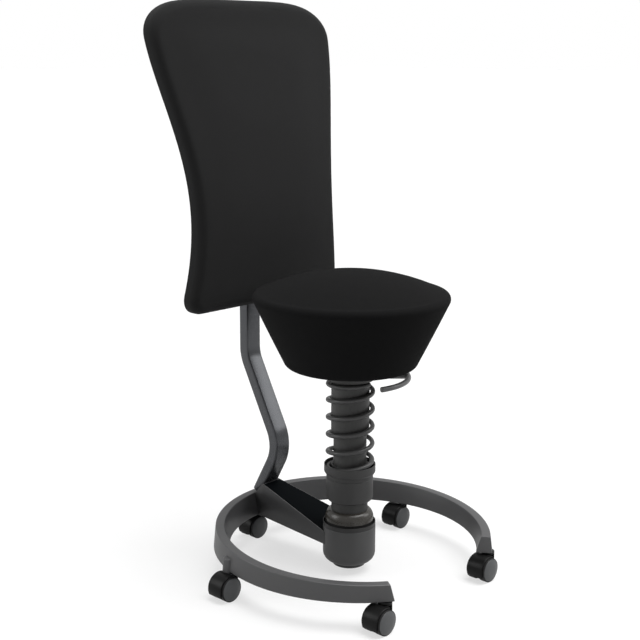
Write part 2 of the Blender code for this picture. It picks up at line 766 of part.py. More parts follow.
def build_joint_and_foot():
    """Build the moving half of the ball joint, the column's foot and the lower tube."""
    liner = sphere_arc(LINER_R, LINER_TOP, LINER_END)
    liner += sphere_arc(BALL_R + BALL_RUN, LINER_TOP, LINER_END)[::-1]
    liner_piece = turned("socket_liner", liner, "bearing_plastic", BALL_SIDES, closed=True)
    stem_top = NECK_TOP_Z - BALL_STEM_CAP
    neck_angle = math.asin(BALL_STEM_R / BALL_R)
    ball_low = PIVOT_Z + BALL_R * math.cos(BALL_FLAT)
    ball = [(0.0, stem_top), (BALL_STEM_R, stem_top)]
    ball += sphere_arc(BALL_R, neck_angle, BALL_FLAT)
    ball += [(0.0, ball_low)]
    ball_piece = turned("pivot_ball", ball, "steel", BALL_SIDES)
    flange_top = PIVOT_Z + FOOT_FLANGE_RISE
    flange_low = flange_top - FOOT_FLANGE_HEIGHT
    spigot_r = LOWER_BORE_R - GAP
    bore_r = BALL_STEM_R + GAP
    foot = [
        (0.0, NECK_TOP_Z + FOOT_SPIGOT),
        (spigot_r, NECK_TOP_Z + FOOT_SPIGOT),
        (spigot_r, NECK_TOP_Z),
        (NECK_R, NECK_TOP_Z),
        (NECK_R, flange_top),
        (FOOT_FLANGE_R, flange_top),
        (FOOT_FLANGE_R, flange_low),
        (bore_r, flange_low),
        (bore_r, stem_top + GAP),
        (0.0, stem_top + GAP),
    ]
    foot_piece = turned("column_foot", foot, "powder_coat")
    mouth_r = NECK_R + GAP
    inner_r = COLLAR_R - COLLAR_WALL
    collar = sphere_arc(COLLAR_R, math.asin(mouth_r / COLLAR_R), COLLAR_SKIRT)
    collar += sphere_arc(inner_r, math.asin(mouth_r / inner_r), COLLAR_SKIRT, ARC_STEPS)[::-1]
    collar_piece = turned("rubber_collar", collar, "rubber", closed=True)
    lower = ring("lower_tube", LOWER_BORE_R, LOWER_TUBE_R, NECK_TOP_Z + GAP, LOWER_TUBE_TOP_Z, "powder_coat")
    bush_outer = LOWER_BORE_R - GAP
    bush_low = LOWER_TUBE_TOP_Z - INNER_BUSH_LENGTH
    bush_bore = GUIDE_TUBE_R + RUN
    bush_top = LOWER_TUBE_TOP_Z
    bush = ring("inner_guide_bush", bush_bore, bush_outer, bush_low, bush_top, "bearing_plastic", INNER_SIDES)
    return liner_piece, [ball_piece, foot_piece, collar_piece, lower, bush]


def build_adjuster():
    """Build the turning sleeve and the spring cup that rises in it."""
    sleeve_bore = SLEEVE_R - SLEEVE_WALL
    sleeve = [(sleeve_bore, SLEEVE_TOP_Z), (SLEEVE_R, SLEEVE_TOP_Z)]
    sleeve += arc(SLEEVE_R - SLEEVE_CORNER, SLEEVE_Z + SLEEVE_CORNER, SLEEVE_CORNER, 0.0, -90.0)
    sleeve += [
        (COLUMN_BORE_R, SLEEVE_Z),
        (COLUMN_BORE_R, SLEEVE_Z + SLEEVE_FLOOR),
        (sleeve_bore, SLEEVE_Z + SLEEVE_FLOOR),
    ]
    sleeve_piece = turned("adjuster_sleeve", sleeve, "black_plastic", closed=True)
    top = CUP_Z + CUP_HEIGHT
    cup = [
        (COLUMN_BORE_R, top),
        (UPPER_TUBE_R, top),
        (UPPER_TUBE_R, CUP_Z + CUP_FLOOR),
        (CUP_BORE_R, CUP_Z + CUP_FLOOR),
        (CUP_BORE_R, top),
        (CUP_R - CUP_EDGE, top),
        (CUP_R, top - CUP_EDGE),
        (CUP_R, CUP_Z + CUP_EDGE),
        (CUP_R - CUP_EDGE, CUP_Z),
        (SHANK_R, CUP_Z),
        (SHANK_R, CUP_Z - CUP_SHANK),
        (COLUMN_BORE_R, CUP_Z - CUP_SHANK),
    ]
    return sleeve_piece, turned("spring_cup", cup, "black_plastic", closed=True)


def spring_points():
    """Return the coil's centre line: closed end turns and an even pitch between them."""
    low = SPRING_Z + WIRE_R
    rise = SPRING_LENGTH - 2 * WIRE_R
    active_pitch = (rise - 2 * END_TURNS * END_PITCH) / (SPRING_TURNS - 2 * END_TURNS)
    points = []
    steps = round(SPRING_TURNS * COIL_POINTS)
    for step in range(steps + 1):
        turns = SPRING_TURNS * step / steps
        first = min(turns, END_TURNS)
        last = max(turns - (SPRING_TURNS - END_TURNS), 0.0)
        height = (first + last) * END_PITCH + (turns - first - last) * active_pitch
        angle = COIL_START + math.tau * turns
        points.append((COIL_R * math.cos(angle), COIL_R * math.sin(angle), low + height))
    return points


def least_gap(points, radius, skip):
    """Return the least gap between stretches of a tube that lie at least skip points apart."""
    line = np.array(points)
    best = math.inf
    for i in range(len(line) - skip):
        best = min(best, float(np.linalg.norm(line[i + skip:] - line[i], axis=1).min()))
    return best - 2 * radius


def build_spring():
    """Build the coil spring as one unbroken tube and print its least gap to itself."""
    points = spring_points()
    gap = least_gap(points, WIRE_R, COIL_POINTS // 2)
    print(f"coil_spring: least gap to itself {gap * 1000:.2f} mm")
    return tube("coil_spring", points, WIRE_R, "spring_steel")


def build_upper_column():
    """Build the sprung upper column: tube, spring plate, bushes, guide tube and bearing."""
    tube_piece = ring("upper_tube", UPPER_BORE_R, UPPER_TUBE_R, UPPER_TUBE_Z, UPPER_TUBE_TOP_Z, "powder_coat")
    plate_bore = UPPER_TUBE_R + GAP
    plate = [
        (plate_bore, PLATE_TOP_Z),
        (PLATE_R, PLATE_TOP_Z),
        (PLATE_R, PLATE_Z + PLATE_CHAMFER_HEIGHT),
        (PLATE_R - PLATE_CHAMFER_R, PLATE_Z),
        (plate_bore, PLATE_Z),
    ]
    plate_piece = turned("upper_spring_plate", plate, "powder_coat", closed=True)
    low = UPPER_TUBE_Z
    guide = ring("lower_guide_bush", COLUMN_BORE_R, BUSH_R, low, low + GUIDE_BUSH_LENGTH, "bearing_plastic")
    bush_bore = GAS_R + RUN
    bush = [
        (bush_bore, COLUMN_TOP_Z),
        (UPPER_TUBE_R, COLUMN_TOP_Z),
        (UPPER_TUBE_R, UPPER_TUBE_TOP_Z + GAP),
        (BUSH_R, UPPER_TUBE_TOP_Z + GAP),
        (BUSH_R, TOP_BUSH_Z),
        (bush_bore, TOP_BUSH_Z),
    ]
    bush_piece = turned("top_guide_bush", bush, "bearing_plastic", INNER_SIDES, closed=True)
    inner = GUIDE_TUBE_R - GUIDE_TUBE_WALL
    rod_hole = ROD_R + RUN
    guide_profile = [
        (inner, TOP_BUSH_Z - GAP),
        (GUIDE_TUBE_R, TOP_BUSH_Z - GAP),
        (GUIDE_TUBE_R, GUIDE_Z),
        (rod_hole, GUIDE_Z),
        (rod_hole, GUIDE_FLOOR_Z),
        (inner, GUIDE_FLOOR_Z),
    ]
    guide_tube = turned("gas_guide_tube", guide_profile, "steel", INNER_SIDES, closed=True)
    top = BEARING_Z + BEARING_HEIGHT
    bearing = ring("thrust_bearing", rod_hole, BEARING_R, BEARING_Z, top, "steel", INNER_SIDES)
    return [tube_piece, plate_piece, guide, bush_piece, guide_tube, bearing]


def build_gas_lift():
    """Build the gas lift's piston rod, cylinder and valve pin."""
    piston_r = GAS_BORE_R - RUN
    profile = [
        (0.0, PISTON_TOP_Z),
        (piston_r, PISTON_TOP_Z),
        (piston_r, PISTON_Z),
        (ROD_R, PISTON_Z),
        (ROD_R, ROD_COLLAR_Z + ROD_COLLAR),
        (ROD_COLLAR_R, ROD_COLLAR_Z + ROD_COLLAR),
        (ROD_COLLAR_R, ROD_COLLAR_Z),
        (ROD_R, ROD_COLLAR_Z),
        (ROD_R, ROD_Z + ROD_HEAD),
        (ROD_HEAD_R, ROD_Z + ROD_HEAD),
        (ROD_HEAD_R, ROD_Z),
        (0.0, ROD_Z),
    ]
    piston = turned("gas_piston_rod", profile, "steel", INNER_SIDES)
    gland = ROD_R + RUN
    valve_bore = VALVE_R + RUN
    valve_floor = TAPER_TOP_Z - VALVE_SEAT
    cylinder = [
        (0.0, valve_floor),
        (valve_bore, valve_floor),
        (valve_bore, TAPER_TOP_Z),
        (TAPER_TIP_R, TAPER_TOP_Z),
        (TAPER_BASE_R, TAPER_Z),
        (GAS_R, TAPER_Z),
        (GAS_R, GAS_Z),
        (gland, GAS_Z),
        (gland, GAS_FLOOR_Z),
        (GAS_BORE_R, GAS_FLOOR_Z),
        (GAS_BORE_R, TAPER_Z - GAS_HEAD),
        (0.0, TAPER_Z - GAS_HEAD),
    ]
    cylinder_piece = turned("gas_cylinder", cylinder, "steel", INNER_SIDES)
    pin_low = valve_floor + VALVE_RISE
    pin = rod("valve_pin", VALVE_R, pin_low, TAPER_TOP_Z + VALVE_RISE, "steel", INNER_SIDES)
    return piston, cylinder_piece, pin


def build_seat_mount():
    """Build the pressed channel with its taper socket, and the lever's pivot pin."""
    inner = CHANNEL_HALF
    outer = CHANNEL_HALF + CHANNEL_SHEET
    edge = outer + CHANNEL_FLANGE
    floor = CHANNEL_FLOOR_Z
    top = CHANNEL_TOP_Z
    outline = [
        (-edge, top),
        (-edge, top - CHANNEL_SHEET),
        (-outer, top - CHANNEL_SHEET),
        (-outer, floor - CHANNEL_BASE),
        (outer, floor - CHANNEL_BASE),
        (outer, top - CHANNEL_SHEET),
        (edge, top - CHANNEL_SHEET),
        (edge, top),
        (inner, top),
        (inner, floor),
        (-inner, floor),
        (-inner, top),
    ]
    mount = extruded("seat_mount", outline, CHANNEL_LENGTH, "steel")
    stand = Matrix.Rotation(LEVER_AZIMUTH + math.pi / 2, 4, "Z") @ Matrix.Rotation(math.pi / 2, 4, "X")
    mount.data.transform(stand)
    socket = rod("taper_socket", SOCKET_R, MOUNT_Z, floor - GAP, "steel", SIDES)
    slope = (TAPER_BASE_R - TAPER_TIP_R) / TAPER_LENGTH
    low = MOUNT_Z - CUT_OVERRUN
    high = floor + CUT_OVERRUN
    low_r = TAPER_BASE_R - slope * (low - TAPER_Z) + GAP
    high_r = TAPER_BASE_R - slope * (high - TAPER_Z) + GAP
    bore = turned("taper_bore", [(0.0, high), (high_r, high), (low_r, low), (0.0, low)], "steel", INNER_SIDES)
    length = outer + CUT_OVERRUN
    pin_bore = rod("lever_pin_bore", LEVER_PIN_R + GAP, -length, length, "steel", phase=HALF_FACET)
    pin_bore.location = LEVER_PLACE
    pin_bore.rotation_euler = (math.pi / 2, 0.0, LEVER_AZIMUTH)
    join(mount, socket)
    cut(mount, bore, pin_bore)
    half = outer + LEVER_PIN_HEAD
    pin = rod("lever_pivot_pin", LEVER_PIN_R, -half, half, "steel", phase=HALF_FACET)
    pin.location = LEVER_PLACE
    pin.rotation_euler = (math.pi / 2, 0.0, LEVER_AZIMUTH)
    return mount, pin


def build_lever():
    """Build the release lever about its pivot: a shank that drops from the seat, and an arc handle."""
    reach = LEVER_REACH - LEVER_PIVOT_X
    knee = LEVER_KNEE_X - LEVER_PIVOT_X
    corners = [
        (-LEVER_TAIL, 0.0, 0.0),
        (knee, 0.0, 0.0),
        (knee + LEVER_SHANK_LEAN, 0.0, -LEVER_DROP),
        (reach, 0.0, -LEVER_DROP),
    ]
    shank = bent_line(corners, LEVER_BEND_R, ARC_STEPS)
    lever = tube("release_lever", shank, LEVER_ROD_R, "powder_coat", LEVER_BEVEL_STEPS)
    angles = np.linspace(-LEVER_SPAN, LEVER_SPAN, LEVER_ARC_STEPS + 1)
    grip = []
    for angle in angles:
        x = LEVER_REACH * math.cos(angle) - LEVER_PIVOT_X
        grip.append((x, LEVER_REACH * math.sin(angle), -LEVER_DROP))
    arc_piece = tube("lever_arc", grip, LEVER_ROD_R, "powder_coat", LEVER_BEVEL_STEPS)
    eye_half = 2 * LEVER_ROD_R
    eye = rod("lever_eye", LEVER_PIN_R + RUN, -eye_half, eye_half, "steel", phase=HALF_FACET)
    for piece in (lever, arc_piece):
        piece.location = LEVER_PLACE
        piece.rotation_euler = (0.0, 0.0, LEVER_AZIMUTH)
    eye.location = LEVER_PLACE
    eye.rotation_euler = (math.pi / 2, 0.0, LEVER_AZIMUTH)
    join(lever, arc_piece)
    cut(lever, eye)
    return lever


def build_seat():
    """Build the seat board and the cushion round it: a crowned top over drawn-in conical sides."""
    board_top = SEAT_BOARD_Z + SEAT_BOARD
    board = rod("seat_board", SEAT_BOARD_R, SEAT_BOARD_Z, board_top, "plywood", SEAT_SIDES)
    rim_r = SEAT_RIM_R - SEAT_RIM_ROUND
    crown = []
    for step in range(CROWN_STEPS + 1):
        share = step / CROWN_STEPS
        crown.append((rim_r * share, SEAT_TOP_Z - (SEAT_CROWN - SEAT_RIM_ROUND) * share ** 2))
    rim = arc(rim_r, SEAT_RIM_Z, SEAT_RIM_ROUND, 90.0, -SEAT_SIDE_TILT)
    foot_r = SEAT_FOOT_R - SEAT_FOOT_ROUND
    foot = arc(foot_r, SEAT_Z + SEAT_FOOT_ROUND, SEAT_FOOT_ROUND, -SEAT_SIDE_TILT, -90.0)
    (start_r, start_z), (end_r, end_z) = rim[-1], foot[0]
    side = []
    for step in range(1, SIDE_STEPS):
        share = step / SIDE_STEPS
        bow = SEAT_DRAW_IN * 4 * share * (1 - share)
        side.append((start_r + (end_r - start_r) * share - bow, start_z + (end_z - start_z) * share))
    pocket = [
        (SEAT_POCKET_R, SEAT_Z),
        (SEAT_POCKET_R, SEAT_BOARD_Z - GAP),
        (SEAT_BOARD_R + GAP, SEAT_BOARD_Z - GAP),
        (SEAT_BOARD_R + GAP, board_top + GAP),
        (0.0, board_top + GAP),
    ]
    cushion = turned("seat_cushion", crown + rim[1:] + side + foot + pocket, "fabric", SEAT_SIDES)
    return board, cushion


def arm_section(y, half, low, high):
    """Return one rectangular section of the rear arm."""
    return [(-half, y, low), (half, y, low), (half, y, high), (-half, y, high)]


def arm_half(y):
    """Return the arm's outer half width at a depth."""
    share = min(max((y - ARM_HUB_Y) / (ARM_REAR_Y - ARM_HUB_Y), 0.0), 1.0)
    return ARM_HUB_HALF + (ARM_REAR_HALF - ARM_HUB_HALF) * share


def arm_top(y):
    """Return the height of the arm's top edge between the hub and its crest."""
    share = (y - ARM_HUB_Y) / (ARM_CREST_Y - ARM_HUB_Y)
    return ARM_HUB_TOP_Z + (ARM_CREST_Z - ARM_HUB_TOP_Z) * share


def arm_bottom(y):
    """Return the height of the arm's lower edge, which falls to the ring's underside."""
    share = (y - ARM_HUB_Y) / (ARM_CREST_Y - ARM_HUB_Y)
    return ARM_HUB_BOTTOM_Z + (RING_BOTTOM_Z - ARM_HUB_BOTTOM_Z) * min(share, 1.0)


def build_arm():
    """Build the sheet channel from the ring to the hub, and the cover sunk in it."""
    tail_y = RING_REAR_Y - RING_TOP_WIDTH
    stations = [(y, arm_top(y)) for y in (ARM_HUB_Y, ARM_REAR_Y, ARM_CREST_Y)] + [(tail_y, ARM_TAIL_TOP_Z)]
    outer = [arm_section(y, arm_half(y), arm_bottom(y), top) for y, top in stations]
    arm = loft("base_arm", outer, "powder_coat")
    hollow = []
    for y in (ARM_HUB_Y, ARM_REAR_Y, tail_y + CUT_OVERRUN):
        half = arm_half(y) - ARM_SHEET
        hollow.append(arm_section(y, half, arm_bottom(y) + ARM_SHEET, ARM_CREST_Z + BAR_THICK))
    channel = loft("arm_hollow", hollow, "powder_coat")
    hub_r = HUB_R + GAP
    hub_cut = rod("arm_hub_cut", hub_r, RING_BOTTOM_Z - CUT_OVERRUN, ARM_CREST_Z, "powder_coat", SIDES)
    ring_cut = loft("arm_ring_cut", ring_sections(2 * GAP), "powder_coat")
    cut(arm, channel, hub_cut, ring_cut)
    cover = []
    for y in (HUB_R + GAP, ARM_COVER_END_Y):
        top = arm_top(y) - ARM_COVER_SINK
        cover.append(arm_section(y, arm_half(y) - ARM_SHEET - GAP, top - ARM_COVER, top))
    loft("arm_cover", cover, "black_cover")


def bar_line():
    """Return the back bar's centre line, from its foot in the arm to its top behind the backrest."""
    corners = [
        (0.0, BAR_FOOT_Y, BAR_FOOT_Z),
        (0.0, BAR_KNEE_Y, BAR_KNEE_Z),
        (0.0, BAR_BACK_Y, BAR_BEND_Z),
        (0.0, BAR_BACK_Y, BAR_TOP_Z),
    ]
    return bent_line(corners, BAR_BEND_R)


def build_bar():
    """Build the flat back bar as a rounded rectangle swept along its bent line."""
    line = bar_line()
    half_w = BAR_WIDTH / 2
    half_t = BAR_THICK / 2
    corners = (
        (-half_w, BAR_EDGE - half_t),
        (BAR_EDGE - half_w, -half_t),
        (half_w - BAR_EDGE, -half_t),
        (half_w, BAR_EDGE - half_t),
        (half_w, half_t - BAR_EDGE),
        (half_w - BAR_EDGE, half_t),
        (BAR_EDGE - half_w, half_t),
        (-half_w, half_t - BAR_EDGE),
    )
    sections = []
    for before, point, after in zip([line[0]] + line, line, line[1:] + [line[-1]]):
        along = (after - before).normalized()
        across = along.cross(Vector((1.0, 0.0, 0.0)))
        sections.append([point + Vector((x, 0.0, 0.0)) - across * depth for x, depth in corners])
    loft("back_bar", sections, "powder_coat")


def back_curve(column, z):
    """Return a smooth curve through one column of the backrest's stations at a height."""
    heights = [station[0] for station in BACK_STATIONS]
    values = [station[column] for station in BACK_STATIONS]
    return float(np.polyval(np.polyfit(heights, values, len(heights) - 1), z))


def corner_loss(distance, radius):
    """Return how far a rounded corner draws a side in at a distance from its end."""
    if distance >= radius:
        return 0.0
    return radius - math.sqrt(radius ** 2 - (radius - max(distance, 0.0)) ** 2)


def back_half(z, inset=0.0):
    """Return the backrest's half width at a height, with its corners rounded."""
    half = back_curve(1, z) - inset
    half -= corner_loss(BACK_TOP_Z - inset - z, BACK_TOP_CORNER - inset)
    return half - corner_loss(z - BACK_FOOT_Z - inset, BACK_FOOT_CORNER - inset)


def back_rows(inset, rows, edge_rows):
    """Return heights from the backrest's foot to its top, closer together in the rounded corners."""
    low = BACK_FOOT_Z + inset
    high = BACK_TOP_Z - inset
    quarter = np.linspace(0.0, math.pi / 2, edge_rows + 1)
    foot = low + (BACK_FOOT_CORNER - inset) * (1.0 - np.cos(quarter))
    top = high - (BACK_TOP_CORNER - inset) * (1.0 - np.cos(quarter[::-1]))
    middle = np.linspace(foot[-1], top[0], rows + 1)
    return [float(z) for z in np.concatenate([foot[:-1], middle, top[1:]])]


def pad_section(z):
    """Return the pad's outline at a height: a flat back, round edges and a slightly crowned front."""
    half = back_half(z)
    back = back_curve(2, z)
    edge = min(BACK_TOP_Z - z, z - BACK_FOOT_Z)
    thick = PAD_THICK - corner_loss(edge, PAD_ROUND)
    round_r = min(PAD_ROUND, thick * PAD_ROUND_SHARE)
    crown = PAD_CROWN * min(edge / PAD_THICK, 1.0)
    right = [(half - GAP, back), (half, back - GAP), (half, back - (thick - round_r) / 2)]
    for angle in np.linspace(0.0, math.pi / 2, ARC_STEPS):
        right.append((half - round_r * (1 - math.cos(angle)), back - thick + round_r * (1 - math.sin(angle))))
    front = back - thick
    right.append(((half - round_r) / 2, front - crown * 3 / 4))
    outline = right + [(0.0, front - crown)] + [(-x, y) for x, y in right[::-1]]
    return [(x, y, z) for x, y in outline]


def shell_section(z):
    """Return the back shell's rectangular outline at a height."""
    half = back_half(z, SHELL_INSET)
    front = back_curve(2, z) + GAP
    back = front + SHELL_THICK
    return [(-half, front, z), (half, front, z), (half, back, z), (-half, back, z)]


def build_backrest():
    """Build the backrest's pad, the shell behind it and the bracket that joins it to the bar."""
    loft("backrest_pad", [pad_section(z) for z in back_rows(0.0, PAD_ROWS, PAD_EDGE_ROWS)], "fabric")
    shell_rows = back_rows(SHELL_INSET, SHELL_ROWS, PAD_EDGE_ROWS)
    loft("backrest_shell", [shell_section(z) for z in shell_rows], "black_plastic")
    bracket = []
    bar_front = BAR_BACK_Y - BAR_THICK / 2 - GAP
    for z in np.linspace(BRACKET_LOW_Z, BAR_TOP_Z, BRACKET_ROWS):
        front = back_curve(2, z) + SHELL_THICK + 3 * GAP
        half = BRACKET_HALF
        bracket.append([(-half, front, z), (half, front, z), (half, bar_front, z), (-half, bar_front, z)])
    loft("backrest_bracket", bracket, "steel")


def build_stool():
    """Build every sub-part and hang the moving ones on their pivots."""
    build_ring()
    build_castors()
    build_hub()
    build_arm()
    build_bar()
    build_backrest()
    tilt_side = add_pivot("tilt_side_axis", (0.0, 0.0, PIVOT_Z))
    tilt_fore_aft = add_pivot("tilt_fore_aft_axis", (0.0, 0.0, PIVOT_Z), tilt_side)
    adjuster_axis = add_pivot("adjuster_axis", (0.0, 0.0, SLEEVE_Z), tilt_fore_aft)
    bounce_axis = add_pivot("bounce_axis", (0.0, 0.0, UPPER_TUBE_Z), tilt_fore_aft)
    seat_axis = add_pivot("seat_axis", (0.0, 0.0, TAPER_Z), bounce_axis)
    lever_axis = add_pivot("lever_axis", LEVER_PLACE, seat_axis)
    liner, column = build_joint_and_foot()
    attach(tilt_side, liner)
    attach(tilt_fore_aft, *column)
    attach(adjuster_axis, *build_adjuster())
    attach(adjuster_axis, build_spring())
    attach(bounce_axis, *build_upper_column())
    attach(seat_axis, *build_gas_lift())
    attach(seat_axis, *build_seat_mount())
    attach(seat_axis, *build_seat())
    attach(lever_axis, build_lever())


clear_scene()
PARTS = new_collection("spring_balance_stool")
CUTTERS = new_collection("cutters")
build_stool()
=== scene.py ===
"""Visual model of a spring balance stool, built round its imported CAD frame.

Metres, +Z up. The column's axis is X = Y = 0, the floor is Z = 0 and the sitter faces -Y.
"""
import logging
import math
from contextlib import contextmanager
from dataclasses import dataclass
from enum import Enum
from typing import Callable, Iterator, Optional, Sequence

import bmesh
import bpy
import numpy as np
from mathutils import Matrix, Vector


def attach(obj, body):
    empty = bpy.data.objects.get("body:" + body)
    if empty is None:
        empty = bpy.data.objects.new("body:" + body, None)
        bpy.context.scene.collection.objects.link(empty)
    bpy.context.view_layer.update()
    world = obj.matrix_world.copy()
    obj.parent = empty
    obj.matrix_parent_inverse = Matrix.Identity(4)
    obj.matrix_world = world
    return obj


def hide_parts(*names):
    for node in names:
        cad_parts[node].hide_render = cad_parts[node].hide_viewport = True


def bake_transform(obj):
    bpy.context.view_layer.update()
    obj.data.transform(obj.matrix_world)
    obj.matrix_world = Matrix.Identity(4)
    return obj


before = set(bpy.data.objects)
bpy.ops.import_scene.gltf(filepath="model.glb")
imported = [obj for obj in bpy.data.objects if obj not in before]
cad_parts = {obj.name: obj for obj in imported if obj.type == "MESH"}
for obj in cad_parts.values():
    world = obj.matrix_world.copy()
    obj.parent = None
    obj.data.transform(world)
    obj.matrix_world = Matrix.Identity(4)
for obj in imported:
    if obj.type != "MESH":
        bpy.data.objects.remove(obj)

LOG = logging.getLogger("stool")
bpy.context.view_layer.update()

Point2 = tuple[float, float]
Point3 = tuple[float, float, float]
# A corner is a point of a profile with the radius of its fillet
Corner = tuple[float, float, float]
Colour = tuple[float, float, float]
Faces = list[tuple[int, ...]]
Tree = bpy.types.NodeTree
Node = bpy.types.Node
Socket = bpy.types.NodeSocket
Obj = bpy.types.Object

# Meshes
SEGMENTS = 96
FILLET_STEPS = 5
BEVEL_STEPS = 2
ROUND_PROFILE = 0.5
SHARP = math.radians(38.0)
FLAT = math.radians(0.5)
WELD = 1e-6
NODE_WELD = 1e-5
FIT = 0.0003

# The CAD wheel, a prism that stands on a flat
WHEEL_RADIUS = 0.0255
WHEEL_SIDES = 18

# Grain and weave
NOISE_MEAN = 0.5
GRAIN_DETAIL = 3.0
CLOUD_SCALE = 22.0
CLOUD_DETAIL = 4.0
WORN_FROM = 0.52
WORN_FULL = 0.62
SLUB_SCALE = 160.0
SLUB_DETAIL = 4.0
WEAVE_MEAN = 0.64
WEAVE_SHINE = -0.06

# Swelling of padded pieces
SWELL_PRESSURE = 3.0
SWELL_CAP = 0.003
SWELL_FRAMES = 16
CLOTH_STIFFNESS = 40.0
CLOTH_BENDING = 6.0


class Body(Enum):
    """The CAD bodies that pieces ride on."""

    BASE = "base"
    COLUMN = "column"
    ADJUSTER = "adjuster"
    CUP = "cup"
    UPPER = "upper_column"
    SEAT = "seat"
    LEVER = "lever"


class Slot(Enum):
    """The record's material slots."""

    POWDER = "powder_coat"
    CAST = "cast_alloy"
    COVER = "black_cover"
    PLASTIC = "black_plastic"
    DISC = "grey_disc"
    RUBBER = "rubber"
    STEEL = "steel"
    SPRING = "spring_steel"
    BEARING = "bearing_plastic"
    WOOD = "plywood"
    FABRIC = "fabric"


class Kind(Enum):
    """The kinds of socket that groups and trees have."""

    NUMBER = "NodeSocketFloat"
    COUNT = "NodeSocketInt"
    VECTOR = "NodeSocketVector"
    COLOUR = "NodeSocketColor"
    MATERIAL = "NodeSocketMaterial"
    GEOMETRY = "NodeSocketGeometry"


Inputs = dict[str, tuple[Kind, object]]


# Node wiring


@dataclass
class Wiring:
    """A node tree that is being wired."""

    tree: Tree

    @classmethod
    def begun(cls, name: str, tree_type: str, inputs: Inputs, outputs: dict[str, Kind]) -> "Wiring":
        """Start a node group.

        Args:
            name: The group's name.
            tree_type: Blender's type of tree.
            inputs: Socket kind and default value by socket name.
            outputs: Socket kind by socket name.

        Returns:
            The wiring, with the group's input and output nodes placed.
        """
        tree = bpy.data.node_groups.new(name, tree_type)
        for label, (kind, value) in inputs.items():
            socket = tree.interface.new_socket(label, in_out="INPUT", socket_type=kind.value)
            if value is not None:
                socket.default_value = value
        for label, kind in outputs.items():
            tree.interface.new_socket(label, in_out="OUTPUT", socket_type=kind.value)
        tree.nodes.new("NodeGroupInput")
        tree.nodes.new("NodeGroupOutput")
        return cls(tree)

    @property
    def given(self) -> bpy.types.NodeOutputs:
        """Return the group's inputs as sockets to read."""
        return self.tree.nodes["Group Input"].outputs

    @property
    def end(self) -> Node:
        """Return the group's output node."""
        return self.tree.nodes["Group Output"]

    def feed(self, node: Node, values: dict[str | int, object]) -> None:
        """Feed a node's inputs.

        Args:
            node: The node.
            values: Sockets or plain values by the input's name or number.
        """
        for label, value in values.items():
            if isinstance(value, Socket):
                self.tree.links.new(value, node.inputs[label])
            else:
                node.inputs[label].default_value = value

    def node(self, kind: str, settings: Optional[dict[str, object]] = None, **inputs: object) -> Node:
        """Add a node, set it up and feed its inputs.

        Args:
            kind: The node's type.
            settings: The node's own options by name.
            inputs: Sockets or plain values by input name, with underscores for spaces.

        Returns:
            The new node.
        """
        made = self.tree.nodes.new(kind)
        for label, value in (settings or {}).items():
            setattr(made, label, value)
        self.feed(made, {label.replace("_", " "): value for label, value in inputs.items()})
        return made

    def calc(self, operation: str, *values: object) -> Socket:
        """Add a math node.

        Args:
            operation: The node's operation.
            values: Sockets or numbers that it works on.

        Returns:
            The result's socket.
        """
        made = self.node("ShaderNodeMath", {"operation": operation})
        self.feed(made, dict(enumerate(values)))
        return made.outputs[0]

    def scaled(self, colour: Socket, factor: Socket) -> Socket:
        """Multiply a colour by a value.

        Args:
            colour: The colour's socket.
            factor: The value's socket.

        Returns:
            The product's socket.
        """
        made = self.node("ShaderNodeVectorMath", {"operation": "SCALE"}, Scale=factor)
        self.feed(made, {0: colour})
        return made.outputs[0]


# Shader groups and finishes


def surface_group(name: str, inputs: Inputs) -> Wiring:
    """Start a shader group that puts out a surface's colour, roughness and height."""
    outputs = {"Colour": Kind.COLOUR, "Roughness": Kind.NUMBER, "Height": Kind.NUMBER}
    return Wiring.begun(name, "ShaderNodeTree", inputs, outputs)


def grain_group() -> Tree:
    """Make the group for coated and moulded surfaces: fine grain, soft clouding and worn edges.

    Returns:
        The group, made once.
    """
    name = "surface_grain"
    if name in bpy.data.node_groups:
        return bpy.data.node_groups[name]
    net = surface_group(name, {
        "Colour": (Kind.COLOUR, (0.1, 0.1, 0.1, 1.0)),
        "Scale": (Kind.NUMBER, 900.0),
        "Tone": (Kind.NUMBER, 0.1),
        "Roughness": (Kind.NUMBER, 0.5),
        "Rough Mix": (Kind.NUMBER, 0.08),
        "Wear": (Kind.NUMBER, 0.2),
    })
    given, calc = net.given, net.calc
    place = net.node("ShaderNodeTexCoord").outputs["Object"]
    fine = net.node("ShaderNodeTexNoise", Vector=place, Scale=given["Scale"], Detail=GRAIN_DETAIL)
    cloud = net.node("ShaderNodeTexNoise", Vector=place, Scale=CLOUD_SCALE, Detail=CLOUD_DETAIL)
    swing = calc("SUBTRACT", calc("ADD", fine.outputs[0], cloud.outputs[0]), 2 * NOISE_MEAN)
    tone = calc("ADD", calc("MULTIPLY", swing, given["Tone"]), 1.0)
    bulge = net.node("ShaderNodeNewGeometry").outputs["Pointiness"]
    edge = net.node("ShaderNodeMapRange", Value=bulge, From_Min=WORN_FROM, From_Max=WORN_FULL)
    lift = calc("ADD", tone, calc("MULTIPLY", edge.outputs[0], given["Wear"]))
    net.feed(net.end, {
        "Colour": net.scaled(given["Colour"], lift),
        "Roughness": calc("ADD", given["Roughness"], calc("MULTIPLY", swing, given["Rough Mix"])),
        "Height": fine.outputs[0],
    })
    return net.tree


